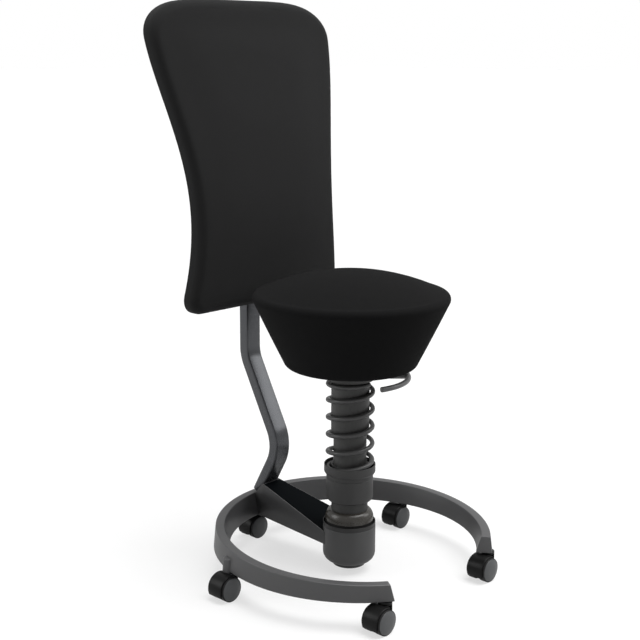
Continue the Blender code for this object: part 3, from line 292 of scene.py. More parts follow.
def weave_group() -> Tree:
    """Make the group for cloth: a plain weave on the piece's own UV map, with slubs and painted shade in
    the dips between threads.

    Returns:
        The group, made once.
    """
    name = "plain_weave"
    if name in bpy.data.node_groups:
        return bpy.data.node_groups[name]
    net = surface_group(name, {
        "Colour": (Kind.COLOUR, (0.02, 0.02, 0.02, 1.0)),
        "Threads": (Kind.NUMBER, 700.0),
        "Tone": (Kind.NUMBER, 0.25),
        "Roughness": (Kind.NUMBER, 0.9),
    })
    given, calc = net.given, net.calc
    split = net.node("ShaderNodeSeparateXYZ")
    net.feed(split, {0: net.node("ShaderNodeUVMap", {"uv_map": "cloth"}).outputs["UV"]})
    cells, waves = [], []
    for axis in ("X", "Y"):
        along = calc("MULTIPLY", split.outputs[axis], given["Threads"])
        cells.append(calc("FLOOR", along))
        waves.append(calc("SINE", calc("MULTIPLY", calc("FRACT", along), math.pi)))
    over = calc("FLOORED_MODULO", calc("ADD", *cells), 2.0)
    under = calc("SUBTRACT", 1.0, over)
    height = calc("ADD", calc("MULTIPLY", waves[0], over), calc("MULTIPLY", waves[1], under))
    place = net.node("ShaderNodeTexCoord").outputs["Object"]
    slub = net.node("ShaderNodeTexNoise", Vector=place, Scale=SLUB_SCALE, Detail=SLUB_DETAIL)
    # The colour follows the weave's height, which paints shade in the dips between threads, and the slub
    # noise, a random tone.
    swing = calc("SUBTRACT", calc("ADD", height, slub.outputs[0]), WEAVE_MEAN + NOISE_MEAN)
    tone = calc("ADD", calc("MULTIPLY", swing, given["Tone"]), 1.0)
    shine = calc("MULTIPLY", calc("SUBTRACT", height, WEAVE_MEAN), WEAVE_SHINE)
    net.feed(net.end, {
        "Colour": net.scaled(given["Colour"], tone),
        "Roughness": calc("ADD", given["Roughness"], shine),
        "Height": height,
    })
    return net.tree


@dataclass(frozen=True)
class Finish:
    """A coated, moulded, bare or woven surface, made as one procedural material."""

    name: str
    slot: Slot
    colour: Colour
    roughness: float
    metallic: float = 0.0
    scale: float = 900.0
    tone: float = 0.12
    rough_mix: float = 0.10
    wear: float = 0.15
    depth: float = 0.00006
    specular: float = 0.5
    sheen: float = 0.0
    threads: float = 0.0

    def material(self) -> bpy.types.Material:
        """Make the finish's material.

        Returns:
            The material, made once.
        """
        if self.name in bpy.data.materials:
            return bpy.data.materials[self.name]
        made = bpy.data.materials.new(self.name)
        made.use_nodes = True
        net = Wiring(made.node_tree)
        group = net.node("ShaderNodeGroup", {"node_tree": weave_group() if self.threads else grain_group()})
        values = {"Colour": (*self.colour, 1.0), "Tone": self.tone, "Roughness": self.roughness}
        if self.threads:
            values["Threads"] = self.threads
        else:
            values |= {"Scale": self.scale, "Rough Mix": self.rough_mix, "Wear": self.wear}
        net.feed(group, values)
        bump = net.node("ShaderNodeBump", Distance=self.depth, Height=group.outputs["Height"])
        net.feed(made.node_tree.nodes["Principled BSDF"], {
            "Base Color": group.outputs["Colour"],
            "Roughness": group.outputs["Roughness"],
            "Normal": bump.outputs["Normal"],
            "Metallic": self.metallic,
            "Specular IOR Level": self.specular,
            "Sheen Weight": self.sheen,
        })
        return made


ANTHRACITE = Finish(
    "anthracite_coat", Slot.CAST, (0.087, 0.087, 0.089), 0.42, metallic=0.15, tone=0.10, depth=0.00004
)
ARM_COAT = Finish(
    "arm_coat", Slot.POWDER, (0.042, 0.042, 0.043), 0.46, metallic=0.2, tone=0.10, depth=0.00004
)
BAR_COAT = Finish(
    "bar_coat", Slot.CAST, (0.082, 0.085, 0.091), 0.26, metallic=0.62, tone=0.10, depth=0.00004
)
# Light grey plate colour that paints the highlight along the arm's top edges.
RIM_PAINTED_HIGHLIGHT = Finish("rim_coat", Slot.POWDER, (0.20, 0.20, 0.20), 0.40, tone=0.10, depth=0.00004)
COLUMN_COAT = Finish("column_coat", Slot.POWDER, (0.031, 0.031, 0.030), 0.50, tone=0.12)
HUB_COAT = Finish("hub_coat", Slot.CAST, (0.072, 0.072, 0.073), 0.48, scale=700.0)
COVER_BLACK = Finish("cover_black", Slot.COVER, (0.0055, 0.0068, 0.0080), 0.55, wear=0.05, specular=0.01)
TRIM_BLACK = Finish("trim_black", Slot.PLASTIC, (0.018, 0.018, 0.018), 0.45, scale=1100.0)
GRIP_BLACK = Finish("grip_black", Slot.PLASTIC, (0.034, 0.034, 0.034), 0.50, scale=1100.0, depth=0.00008)
HOOD_BLACK = Finish("hood_black", Slot.PLASTIC, (0.007, 0.007, 0.007), 0.34, scale=800.0, specular=0.14)
SHELL_BLACK = Finish("shell_black", Slot.PLASTIC, (0.024, 0.024, 0.025), 0.55, scale=1400.0, depth=0.0001)
TYRE_GREY = Finish("tyre_grey", Slot.DISC, (0.010, 0.010, 0.010), 0.52, specular=0.3)
DISC_GREY = Finish("disc_grey", Slot.DISC, (0.080, 0.083, 0.086), 0.42, scale=600.0)
DOME_RUBBER = Finish("dome_rubber", Slot.RUBBER, (0.042, 0.038, 0.032), 0.27, tone=0.2, wear=0.0)
# Near-black colour that paints the shade in the groove between the dome's lip and the hub's trim; the skirt
# is the same rubber as the dome.
SKIRT_RUBBER_PAINTED_SHADE = Finish("skirt_rubber", Slot.RUBBER, (0.006, 0.006, 0.006), 0.60, wear=0.0, specular=0.2)
COIL_COAT = Finish("coil_coat", Slot.SPRING, (0.055, 0.055, 0.055), 0.38)
LEVER_COAT = Finish("lever_coat", Slot.POWDER, (0.110, 0.110, 0.112), 0.36)
BRIGHT_STEEL = Finish("bright_steel", Slot.STEEL, (0.50, 0.50, 0.51), 0.32, metallic=1.0, rough_mix=0.2)
BUSH_PLASTIC = Finish("bush_plastic", Slot.BEARING, (0.55, 0.53, 0.48), 0.50)
PLAIN_PLY = Finish("plain_ply", Slot.WOOD, (0.40, 0.27, 0.15), 0.65, scale=300.0, tone=0.4, wear=0.0)
SEAT_CLOTH = Finish(
    "seat_cloth", Slot.FABRIC, (0.0116, 0.0116, 0.0118), 0.92,
    threads=800.0, depth=0.00015, specular=0.03, sheen=0.01,
)
BACK_CLOTH = Finish(
    "back_cloth", Slot.FABRIC, (0.0135, 0.0135, 0.0138), 0.92,
    threads=700.0, depth=0.00015, specular=0.20, sheen=0.05,
)


# Mesh helpers


@contextmanager
def edited(mesh: bpy.types.Mesh) -> Iterator[bmesh.types.BMesh]:
    """Open a mesh for editing and write it back.

    Args:
        mesh: The mesh.

    Yields:
        The mesh in its editable form.
    """
    edit = bmesh.new()
    edit.from_mesh(mesh)
    yield edit
    edit.to_mesh(mesh)
    edit.free()


def shade(mesh: bpy.types.Mesh) -> None:
    """Shade a mesh smooth, with its hard edges kept."""
    mesh.shade_smooth()
    mesh.set_sharp_from_angle(angle=SHARP)


def linked(name: str, data: bpy.types.ID) -> Obj:
    """Put a mesh, a lamp or a camera into the scene.

    Args:
        name: The object's name.
        data: What the object holds.

    Returns:
        The new object.
    """
    made = bpy.data.objects.new(name, data)
    bpy.context.scene.collection.objects.link(made)
    return made


def new_object(name: str, verts: Sequence, faces: Sequence) -> Obj:
    """Make a mesh object with welded points, outward faces and smooth shading.

    Args:
        name: The piece's name.
        verts: Points in the frame's metres.
        faces: Lists of point numbers.

    Returns:
        The new object.
    """
    mesh = bpy.data.meshes.new(name)
    mesh.from_pydata([tuple(v) for v in verts], [], faces)
    with edited(mesh) as edit:
        bmesh.ops.remove_doubles(edit, verts=edit.verts, dist=WELD)
        bmesh.ops.recalc_face_normals(edit, faces=edit.faces)
    shade(mesh)
    return linked(name, mesh)


def rounded(before: Vector, here: Vector, after: Vector, radius: float, steps: int) -> list[Vector]:
    """Round one corner of a line.

    Args:
        before: The corner before it.
        here: The corner.
        after: The corner after it.
        radius: The arc's radius.
        steps: Steps on the arc.

    Returns:
        Points on the arc.
    """
    come, leave = (before - here).normalized(), (after - here).normalized()
    half = come.angle(leave) / 2
    centre = here + (come + leave).normalized() * (radius / math.sin(half))
    first = here + come * (radius / math.tan(half)) - centre
    last = here + leave * (radius / math.tan(half)) - centre
    sweep = first.angle(last)
    turns = [sweep * step / steps for step in range(steps + 1)]
    return [centre + (first * math.sin(sweep - t) + last * math.sin(t)) / math.sin(sweep) for t in turns]


def filleted(corners: Sequence[Corner], closed: bool) -> list[Point2]:
    """Round the corners of a profile.

    Args:
        corners: Points as (across, up, fillet radius).
        closed: Whether the last point joins the first.

    Returns:
        The rounded profile's points.
    """
    count = len(corners)
    line: list[Point2] = []
    for i, (x, y, radius) in enumerate(corners):
        inner = closed or 0 < i < count - 1
        if not inner or radius <= 0.0:
            line.append((x, y))
            continue
        before, after = Vector(corners[i - 1][:2]), Vector(corners[(i + 1) % count][:2])
        line += [tuple(point) for point in rounded(before, Vector((x, y)), after, radius, FILLET_STEPS)]
    return line


def bent_path(corners: Sequence[Point3], radius: float, steps: int) -> list[Vector]:
    """Round the inner corners of a line in space.

    Args:
        corners: The line's corner points.
        radius: The bend's radius.
        steps: Steps on each bend.

    Returns:
        Points on the rounded line.
    """
    points = [Vector(corner) for corner in corners]
    line = [points[0]]
    for before, here, after in zip(points, points[1:], points[2:]):
        line += rounded(before, here, after, radius, steps)
    return line + [points[-1]]


def banded(rows: int, count: int, closed: bool = False) -> Faces:
    """Join rows of points, each row a ring, by bands of faces.

    Args:
        rows: How many rows there are.
        count: Points in each row.
        closed: Whether the last row joins the first.

    Returns:
        The faces as point numbers.
    """
    faces = []
    for i in range(rows if closed else rows - 1):
        j = (i + 1) % rows
        for k in range(count):
            n = (k + 1) % count
            faces.append((i * count + k, i * count + n, j * count + n, j * count + k))
    return faces


def turned(name: str, corners: Sequence[Corner], closed: bool = False, segments: int = SEGMENTS) -> Obj:
    """Turn a profile about Z.

    Args:
        name: The piece's name.
        corners: Points as (radius, height, fillet radius).
        closed: Whether the profile is a closed ring that keeps off the axis.
        segments: Facets round the axis.

    Returns:
        The turned object.
    """
    profile = filleted(corners, closed)
    angles = [math.tau * k / segments for k in range(segments)]
    verts = [(r * math.cos(a), r * math.sin(a), z) for r, z in profile for a in angles]
    on_axis = {row for row, (r, _) in enumerate(profile) if r < WELD}
    faces: Faces = []
    for face in banded(len(profile), segments, closed):
        if face[0] // segments in on_axis:
            face = (face[0], face[2], face[3])
        elif face[2] // segments in on_axis:
            face = face[:3]
        faces.append(face)
    return new_object(name, verts, faces)


def lofted(name: str, rings: Sequence[Sequence[Point3]]) -> Obj:
    """Join rings of equally many points into a body with closed ends.

    Args:
        name: The piece's name.
        rings: Closed rings of points.

    Returns:
        The lofted object.
    """
    count = len(rings[0])
    verts = [point for ring in rings for point in ring]
    caps = [tuple(range(count))[::-1], tuple(range(len(verts) - count, len(verts)))]
    return new_object(name, verts, banded(len(rings), count) + caps)


def swept(name: str, path: Sequence[Point3], radius: float, sides: int, edge: float) -> Obj:
    """Sweep a round bar along a path, with softened ends.

    Args:
        name: The piece's name.
        path: Points on the bar's centre line.
        radius: The bar's radius.
        sides: Facets round the bar.
        edge: Rounding of the two ends.

    Returns:
        The swept object.
    """
    line = [Vector(point) for point in path]
    ways = [(after - before).normalized() for before, after in zip([line[0]] + line, line[1:] + [line[-1]])]
    side = ways[0].orthogonal().normalized()
    stations = []
    for point, way in zip(line, ways):
        side = (side - way * side.dot(way)).normalized()
        stations.append((point, way, side, radius))
    first, last = stations[0], stations[-1]
    for turn in (math.pi / 6, math.pi / 3, math.pi / 2):
        out, size = edge * math.sin(turn), radius - edge * (1 - math.cos(turn))
        stations.insert(0, (first[0] - first[1] * out, first[1], first[2], size))
        stations.append((last[0] + last[1] * out, last[1], last[2], size))
    angles = [math.tau * k / sides for k in range(sides)]
    rings = []
    for point, way, across, size in stations:
        other = way.cross(across)
        rings.append([tuple(point + (across * math.cos(a) + other * math.sin(a)) * size) for a in angles])
    return lofted(name, rings)


def softened(obj: Obj, width: float) -> Obj:
    """Bevel an object's hard edges in its mesh.

    Args:
        obj: The object to change.
        width: The bevel's width.

    Returns:
        The same object.
    """
    with edited(obj.data) as edit:
        hard = [e for e in edit.edges if len(e.link_faces) == 2 and e.calc_face_angle(0.0) > SHARP]
        bmesh.ops.bevel(
            edit, geom=hard, offset=width, segments=BEVEL_STEPS, profile=ROUND_PROFILE,
            affect="EDGES", clamp_overlap=True,
        )
    shade(obj.data)
    return obj


def copied(name: str, node: str) -> Obj:
    """Make a welded copy of a CAD node's mesh, with its flat faces made whole.

    Args:
        name: The new piece's name.
        node: The CAD node's name.

    Returns:
        The copy.
    """
    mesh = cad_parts[node].data.copy()
    with edited(mesh) as edit:
        bmesh.ops.remove_doubles(edit, verts=edit.verts, dist=NODE_WELD)
        bmesh.ops.dissolve_limit(edit, angle_limit=FLAT, verts=edit.verts, edges=edit.edges)
    mesh.materials.clear()
    shade(mesh)
    return linked(name, mesh)


def merged(name: str, pieces: Sequence[Obj]) -> Obj:
    """Put several objects' meshes into one new object.

    Args:
        name: The merged piece's name.
        pieces: The objects, all at the origin, which are removed.

    Returns:
        The object that holds them all.
    """
    mesh = bpy.data.meshes.new(name)
    with edited(mesh) as edit:
        for piece in pieces:
            edit.from_mesh(piece.data)
    for piece in pieces:
        bpy.data.objects.remove(piece)
    shade(mesh)
    return linked(name, mesh)


def moved(obj: Obj, step: Matrix) -> Obj:
    """Apply a matrix to an object's mesh.

    Args:
        obj: The object.
        step: The matrix.

    Returns:
        The same object.
    """
    obj.data.transform(step)
    obj.data.update()
    return obj


def dressed(
    obj: Obj, finish: Finish, body: str, nodes: Sequence[str] = (), slot: Optional[Slot] = None
) -> Obj:
    """Give a piece its finish, its body and the CAD nodes that it stands for.

    Args:
        obj: The piece.
        finish: Its finish.
        body: The body that it rides on.
        nodes: CAD nodes that it replaces.
        slot: Not used.

    Returns:
        The same object.
    """
    obj.data.materials.clear()
    obj.data.materials.append(finish.material())
    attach(obj, body)
    if nodes:
        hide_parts(*nodes)
    LOG.info("%s: %d faces on %s", obj.name, len(obj.data.polygons), body)
    return obj


# Geometry Nodes trees


def geometry_tree(name: str, inputs: Inputs) -> Wiring:
    """Start a Geometry Nodes tree with geometry in and out and a material."""
    sockets = {"Geometry": (Kind.GEOMETRY, None), **inputs, "Material": (Kind.MATERIAL, None)}
    return Wiring.begun(name, "GeometryNodeTree", sockets, {"Geometry": Kind.GEOMETRY})


def finished(net: Wiring, geometry: Socket) -> Tree:
    """Close a tree with Realize Instances, smooth shading and Set Material.

    Args:
        net: The tree's wiring.
        geometry: What the tree has made.

    Returns:
        The tree.
    """
    real, smooth = net.node("GeometryNodeRealizeInstances"), net.node("GeometryNodeSetShadeSmooth")
    paint = net.node("GeometryNodeSetMaterial", Material=net.given["Material"])
    for step in (real, smooth, paint):
        net.feed(step, {0: geometry})
        geometry = step.outputs[0]
    net.feed(net.end, {0: geometry})
    return net.tree


def coil_tree() -> Tree:
    """Make the tree that winds a coil spring with closed ends.

    Returns:
        The tree.
    """
    net = geometry_tree("wound_coil", {
        "Radius": (Kind.NUMBER, 0.045),
        "Wire": (Kind.NUMBER, 0.005),
        "Low": (Kind.NUMBER, 0.2),
        "Length": (Kind.NUMBER, 0.2),
        "Turns": (Kind.NUMBER, 6.0),
        "End Turns": (Kind.NUMBER, 0.5),
        "End Pitch": (Kind.NUMBER, 0.011),
        "Start": (Kind.NUMBER, 0.0),
        "Points": (Kind.COUNT, 100),
        "Fine Points": (Kind.COUNT, 400),
        "Sides": (Kind.COUNT, 20),
    })
    given, calc = net.given, net.calc
    line = net.node("GeometryNodeCurvePrimitiveLine")
    even = net.node("GeometryNodeResampleCurve", Curve=line.outputs[0], Count=given["Points"])
    share = net.node("GeometryNodeSplineParameter").outputs["Factor"]
    turns = calc("MULTIPLY", share, given["Turns"])
    first = calc("MINIMUM", turns, given["End Turns"])
    lift = calc("SUBTRACT", given["Turns"], given["End Turns"])
    last = calc("MAXIMUM", calc("SUBTRACT", turns, lift), 0.0)
    closed = calc("ADD", first, last)
    both = calc("MULTIPLY", given["End Turns"], 2.0)
    rise = calc("SUBTRACT", given["Length"], calc("MULTIPLY", given["Wire"], 2.0))
    free = calc("SUBTRACT", rise, calc("MULTIPLY", both, given["End Pitch"]))
    pitch = calc("DIVIDE", free, calc("SUBTRACT", given["Turns"], both))
    slow = calc("MULTIPLY", closed, given["End Pitch"])
    fast = calc("MULTIPLY", calc("SUBTRACT", turns, closed), pitch)
    height = calc("ADD", calc("ADD", given["Low"], given["Wire"]), calc("ADD", slow, fast))
    angle = calc("ADD", given["Start"], calc("MULTIPLY", turns, math.tau))
    x = calc("MULTIPLY", given["Radius"], calc("COSINE", angle))
    y = calc("MULTIPLY", given["Radius"], calc("SINE", angle))
    place = net.node("ShaderNodeCombineXYZ", X=x, Y=y, Z=height)
    wound = net.node("GeometryNodeSetPosition", Geometry=even.outputs[0], Position=place.outputs[0])
    soft = net.node("GeometryNodeCurveSplineType", {"spline_type": "CATMULL_ROM"}, Curve=wound.outputs[0])
    fine = net.node("GeometryNodeResampleCurve", Curve=soft.outputs[0], Count=given["Fine Points"])
    section = net.node("GeometryNodeCurvePrimitiveCircle", Resolution=given["Sides"], Radius=given["Wire"])
    tube = net.node(
        "GeometryNodeCurveToMesh", Curve=fine.outputs[0], Profile_Curve=section.outputs[0], Fill_Caps=True
    )
    return finished(net, tube.outputs[0])


def staple_tree() -> Tree:
    """Make the tree that lays staples along a line.

    Returns:
        The tree.
    """
    net = geometry_tree("laid_staples", {
        "Spacing": (Kind.NUMBER, 0.02),
        "Size": (Kind.VECTOR, (0.005, 0.0006, 0.0005)),
    })
    given = net.given
    curve = net.node("GeometryNodeMeshToCurve", Mesh=given["Geometry"]).outputs[0]
    even = net.node("GeometryNodeResampleCurve", {"mode": "LENGTH"}, Curve=curve, Length=given["Spacing"])
    bead = net.node("GeometryNodeMeshUVSphere", Segments=8, Rings=5, Radius=1.0)
    along = net.node("GeometryNodeInputTangent").outputs[0]
    lie = net.node("FunctionNodeAlignRotationToVector", {"axis": "X"}, Vector=along)
    laid = net.node(
        "GeometryNodeInstanceOnPoints", Points=even.outputs[0], Instance=bead.outputs[0],
        Rotation=lie.outputs[0], Scale=given["Size"],
    )
    return finished(net, laid.outputs[0])


def screw_tree() -> Tree:
    """Make the tree that sets socket screws on points, along each point's own direction.

    Returns:
        The tree.
    """
    net = geometry_tree("set_screws", {
        "Radius": (Kind.NUMBER, 0.005),
        "Head": (Kind.NUMBER, 0.004),
        "Crown Share": (Kind.NUMBER, 0.86),
        "Key Share": (Kind.NUMBER, 0.55),
        "Key Lift": (Kind.NUMBER, 0.9),
    })
    given, calc = net.given, net.calc
    radius, head = given["Radius"], given["Head"]
    body = net.node(
        "GeometryNodeMeshCone", Vertices=32, Side_Segments=3, Radius_Bottom=radius, Depth=head,
        Radius_Top=calc("MULTIPLY", radius, given["Crown Share"]),
    )
    across = calc("MULTIPLY", radius, given["Key Share"])
    key = net.node("GeometryNodeMeshCylinder", Vertices=6, Depth=head, Radius=across)
    lift = net.node("ShaderNodeCombineXYZ", Z=calc("MULTIPLY", head, given["Key Lift"]))
    socket = net.node("GeometryNodeTransform", Geometry=key.outputs[0], Translation=lift.outputs[0])
    hollow = net.node(
        "GeometryNodeMeshBoolean", {"operation": "DIFFERENCE"},
        Mesh_1=body.outputs[0], Mesh_2=socket.outputs[0],
    )
    facing = net.node("GeometryNodeInputNamedAttribute", {"data_type": "FLOAT_VECTOR"}, Name="facing")
    stand = net.node("FunctionNodeAlignRotationToVector", {"axis": "Z"}, Vector=facing.outputs[0])
    points = net.node("GeometryNodeMeshToPoints", Mesh=given["Geometry"])
    laid = net.node(
        "GeometryNodeInstanceOnPoints", Points=points.outputs[0], Instance=hollow.outputs[0],
        Rotation=stand.outputs[0],
    )
    return finished(net, laid.outputs[0])


def grown(
    name: str, points: Sequence[Point3], tree: Tree, finish: Finish,
    closed: bool = False, facing: Optional[Point3] = None, **values: object,
) -> Obj:
    """Run a Geometry Nodes tree on a line of points and keep the result as a plain mesh.

    Args:
        name: The piece's name.
        points: The line or points that the tree reads.
        tree: The tree.
        finish: The finish that the tree sets.
        closed: Whether the line joins its own start.
        facing: The direction of all points, where the tree reads one.
        values: The tree's inputs by name, with underscores for spaces.

    Returns:
        The finished object.
    """
    mesh = bpy.data.meshes.new(name)
    edges = [(i, i + 1) for i in range(len(points) - 1)]
    if closed:
        edges.append((len(points) - 1, 0))
    mesh.from_pydata([tuple(p) for p in points], edges, [])
    if facing:
        layer = mesh.attributes.new("facing", "FLOAT_VECTOR", "POINT")
        layer.data.foreach_set("vector", list(facing) * len(points))
    made = linked(name, mesh)
    modifier = made.modifiers.new(tree.name, "NODES")
    modifier.node_group = tree
    wanted = {label.replace("_", " "): value for label, value in values.items()}
    wanted["Material"] = finish.material()
    for item in tree.interface.items_tree:
        if item.in_out == "INPUT" and item.name in wanted:
            modifier[item.identifier] = wanted[item.name]
    bpy.context.view_layer.update()
    graph = bpy.context.evaluated_depsgraph_get()
    result = bpy.data.meshes.new_from_object(made.evaluated_get(graph))
    made.modifiers.remove(modifier)
    made.data = result
    shade(result)
    return made


# Soft pieces


def eased(share: float) -> float:
    """Return a share that starts and ends softly, kept from 0 to 1."""
    inside = min(max(share, 0.0), 1.0)
    return inside * inside * (3.0 - 2.0 * inside)


def swollen(obj: Obj, held: Callable[[Vector], float]) -> None:
    """Swell a padded piece with a short cloth simulation and keep the result in its mesh.

    Args:
        obj: The piece.
        held: Tells how firmly a point is held, from 0 to 1.
    """
    mesh = obj.data
    rest = np.array([v.co for v in mesh.vertices])
    pins = obj.vertex_groups.new(name="held")
    for vertex in mesh.vertices:
        pins.add([vertex.index], held(vertex.co), "REPLACE")
    cloth = obj.modifiers.new("Swell", "CLOTH")
    cloth.settings.vertex_group_mass = "held"
    cloth.settings.use_pressure = True
    cloth.settings.uniform_pressure_force = SWELL_PRESSURE
    cloth.settings.effector_weights.gravity = 0.0
    cloth.settings.tension_stiffness = CLOTH_STIFFNESS
    cloth.settings.compression_stiffness = CLOTH_STIFFNESS
    cloth.settings.bending_stiffness = CLOTH_BENDING
    cloth.point_cache.frame_end = SWELL_FRAMES
    scene = bpy.context.scene
    for number in range(1, SWELL_FRAMES + 1):
        scene.frame_set(number)
    graph = bpy.context.evaluated_depsgraph_get()
    shaped = np.array([v.co for v in obj.evaluated_get(graph).data.vertices])
    step = shaped - rest
    length = np.maximum(np.linalg.norm(step, axis=1, keepdims=True), 1e-9)
    capped = rest + step * np.minimum(1.0, SWELL_CAP / length)
    obj.modifiers.remove(cloth)
    obj.vertex_groups.remove(pins)
    scene.frame_set(1)
    mesh.vertices.foreach_set("co", capped.ravel())
    mesh.update()


def cloth_map(obj: Obj, place: Callable[[Vector, bpy.types.MeshPolygon], Point2]) -> None:
    """Lay a UV map in metres over a fabric piece.

    Args:
        obj: The piece.
        place: Gives a corner's UV from its point and its face.
    """
    layer = obj.data.uv_layers.new(name="cloth")
    for face in obj.data.polygons:
        for loop in face.loop_indices:
            point = obj.data.vertices[obj.data.loops[loop].vertex_index].co
            layer.data[loop].uv = place(point, face)


# Sub-assemblies


@dataclass
class BaseRing:
    """The C-shaped ring, with bosses over its rear and side castors."""

    centre_y: float = -0.0093
    outer: float = 0.286
    width: float = 0.0187
    outer_flare: float = 0.0045
    inner_flare: float = 0.0105
    bottom: float = 0.058
    rear_height: float = 0.050
    end_height: float = 0.0325
    end_angle: float = math.radians(145.8)
    end_lean: float = 0.008
    end_edge: float = 0.0012
    top_edge: float = 0.0022
    foot_edge: float = 0.0018
    stations: int = 200
    boss_radius: float = 0.0112
    boss_foot: float = 0.0128
    boss_out: float = 0.0048
    boss_low: float = 0.0547
    boss_height: float = 0.022
    boss_dome: float = 0.005
    boss_shoulder: float = 0.4
    boss_segments: int = 40
    castor_circle: float = 0.281

    def place(self, angle: float, radius: float) -> Point2:
        """Return the plan position at an angle from the rear, towards -X."""
        return -radius * math.sin(angle), self.centre_y + radius * math.cos(angle)

    def height(self, y: float) -> float:
        """Find the ring's height at a depth.

        Args:
            y: The depth.

        Returns:
            The height from the ring's foot to its top.
        """
        rear = self.centre_y + self.outer
        front = self.centre_y + self.outer * math.cos(self.end_angle)
        share = (rear - y) / (rear - front)
        return self.rear_height + (self.end_height - self.rear_height) * share

    def section(self, angle: float, lean: float) -> list[Point3]:
        """Lay out the ring's rounded section at an angle.

        Args:
            angle: The angle from the rear.
            lean: How far the foot runs on past the angle, in metres with its sign.

        Returns:
            The section's points.
        """
        inner = self.outer - self.width
        _, y_mid = self.place(angle, (inner + self.outer) / 2)
        high = self.height(y_mid)
        corners = (
            (inner - self.inner_flare, 0.0, self.foot_edge),
            (inner, high, self.top_edge),
            (self.outer, high, self.top_edge),
            (self.outer + self.outer_flare, 0.0, self.foot_edge),
        )
        ring = []
        for radius, up in filleted(corners, True):
            x, y = self.place(angle + lean * (1.0 - up / high) / radius, radius)
            ring.append((x, y, self.bottom + up))
        return ring

    def castors(self) -> list[tuple[str, float, float]]:
        """List the castors.

        Returns:
            Each castor's name and stem position.
        """
        names = ("rear", "right_side", "right_front", "left_front", "left_side")
        angles = [math.tau * k / len(names) for k in range(len(names))]
        return [(name, *self.place(angle, self.castor_circle)) for name, angle in zip(names, angles)]

    def build(self) -> None:
        """Build the ring and its bosses as one piece."""
        rings = []
        for step in range(self.stations + 1):
            angle = self.end_angle * (2 * step / self.stations - 1)
            at_end = step in (0, self.stations)
            rings.append(self.section(angle, math.copysign(self.end_lean, angle) if at_end else 0.0))
        pieces = [softened(lofted("ring_body", rings), self.end_edge)]
        top = self.bottom + self.boss_height + self.boss_dome
        profile = [
            (0.0, top, 0.0),
            (self.boss_radius, top - self.boss_dome * self.boss_shoulder, 0.0035),
            (self.boss_foot, self.boss_low, 0.0010),
            (0.0, self.boss_low, 0.0),
        ]
        scale = 1.0 + self.boss_out / self.castor_circle
        for name, x, y in self.castors():
            if name.endswith("front"):
                continue
            boss = turned(f"boss_{name}", profile, segments=self.boss_segments)
            place = (x * scale, self.centre_y + (y - self.centre_y) * scale, 0.0)
            pieces.append(moved(boss, Matrix.Translation(place)))
        dressed(merged("ring_frame", pieces), ANTHRACITE, Body.BASE.value, ["base_ring"])


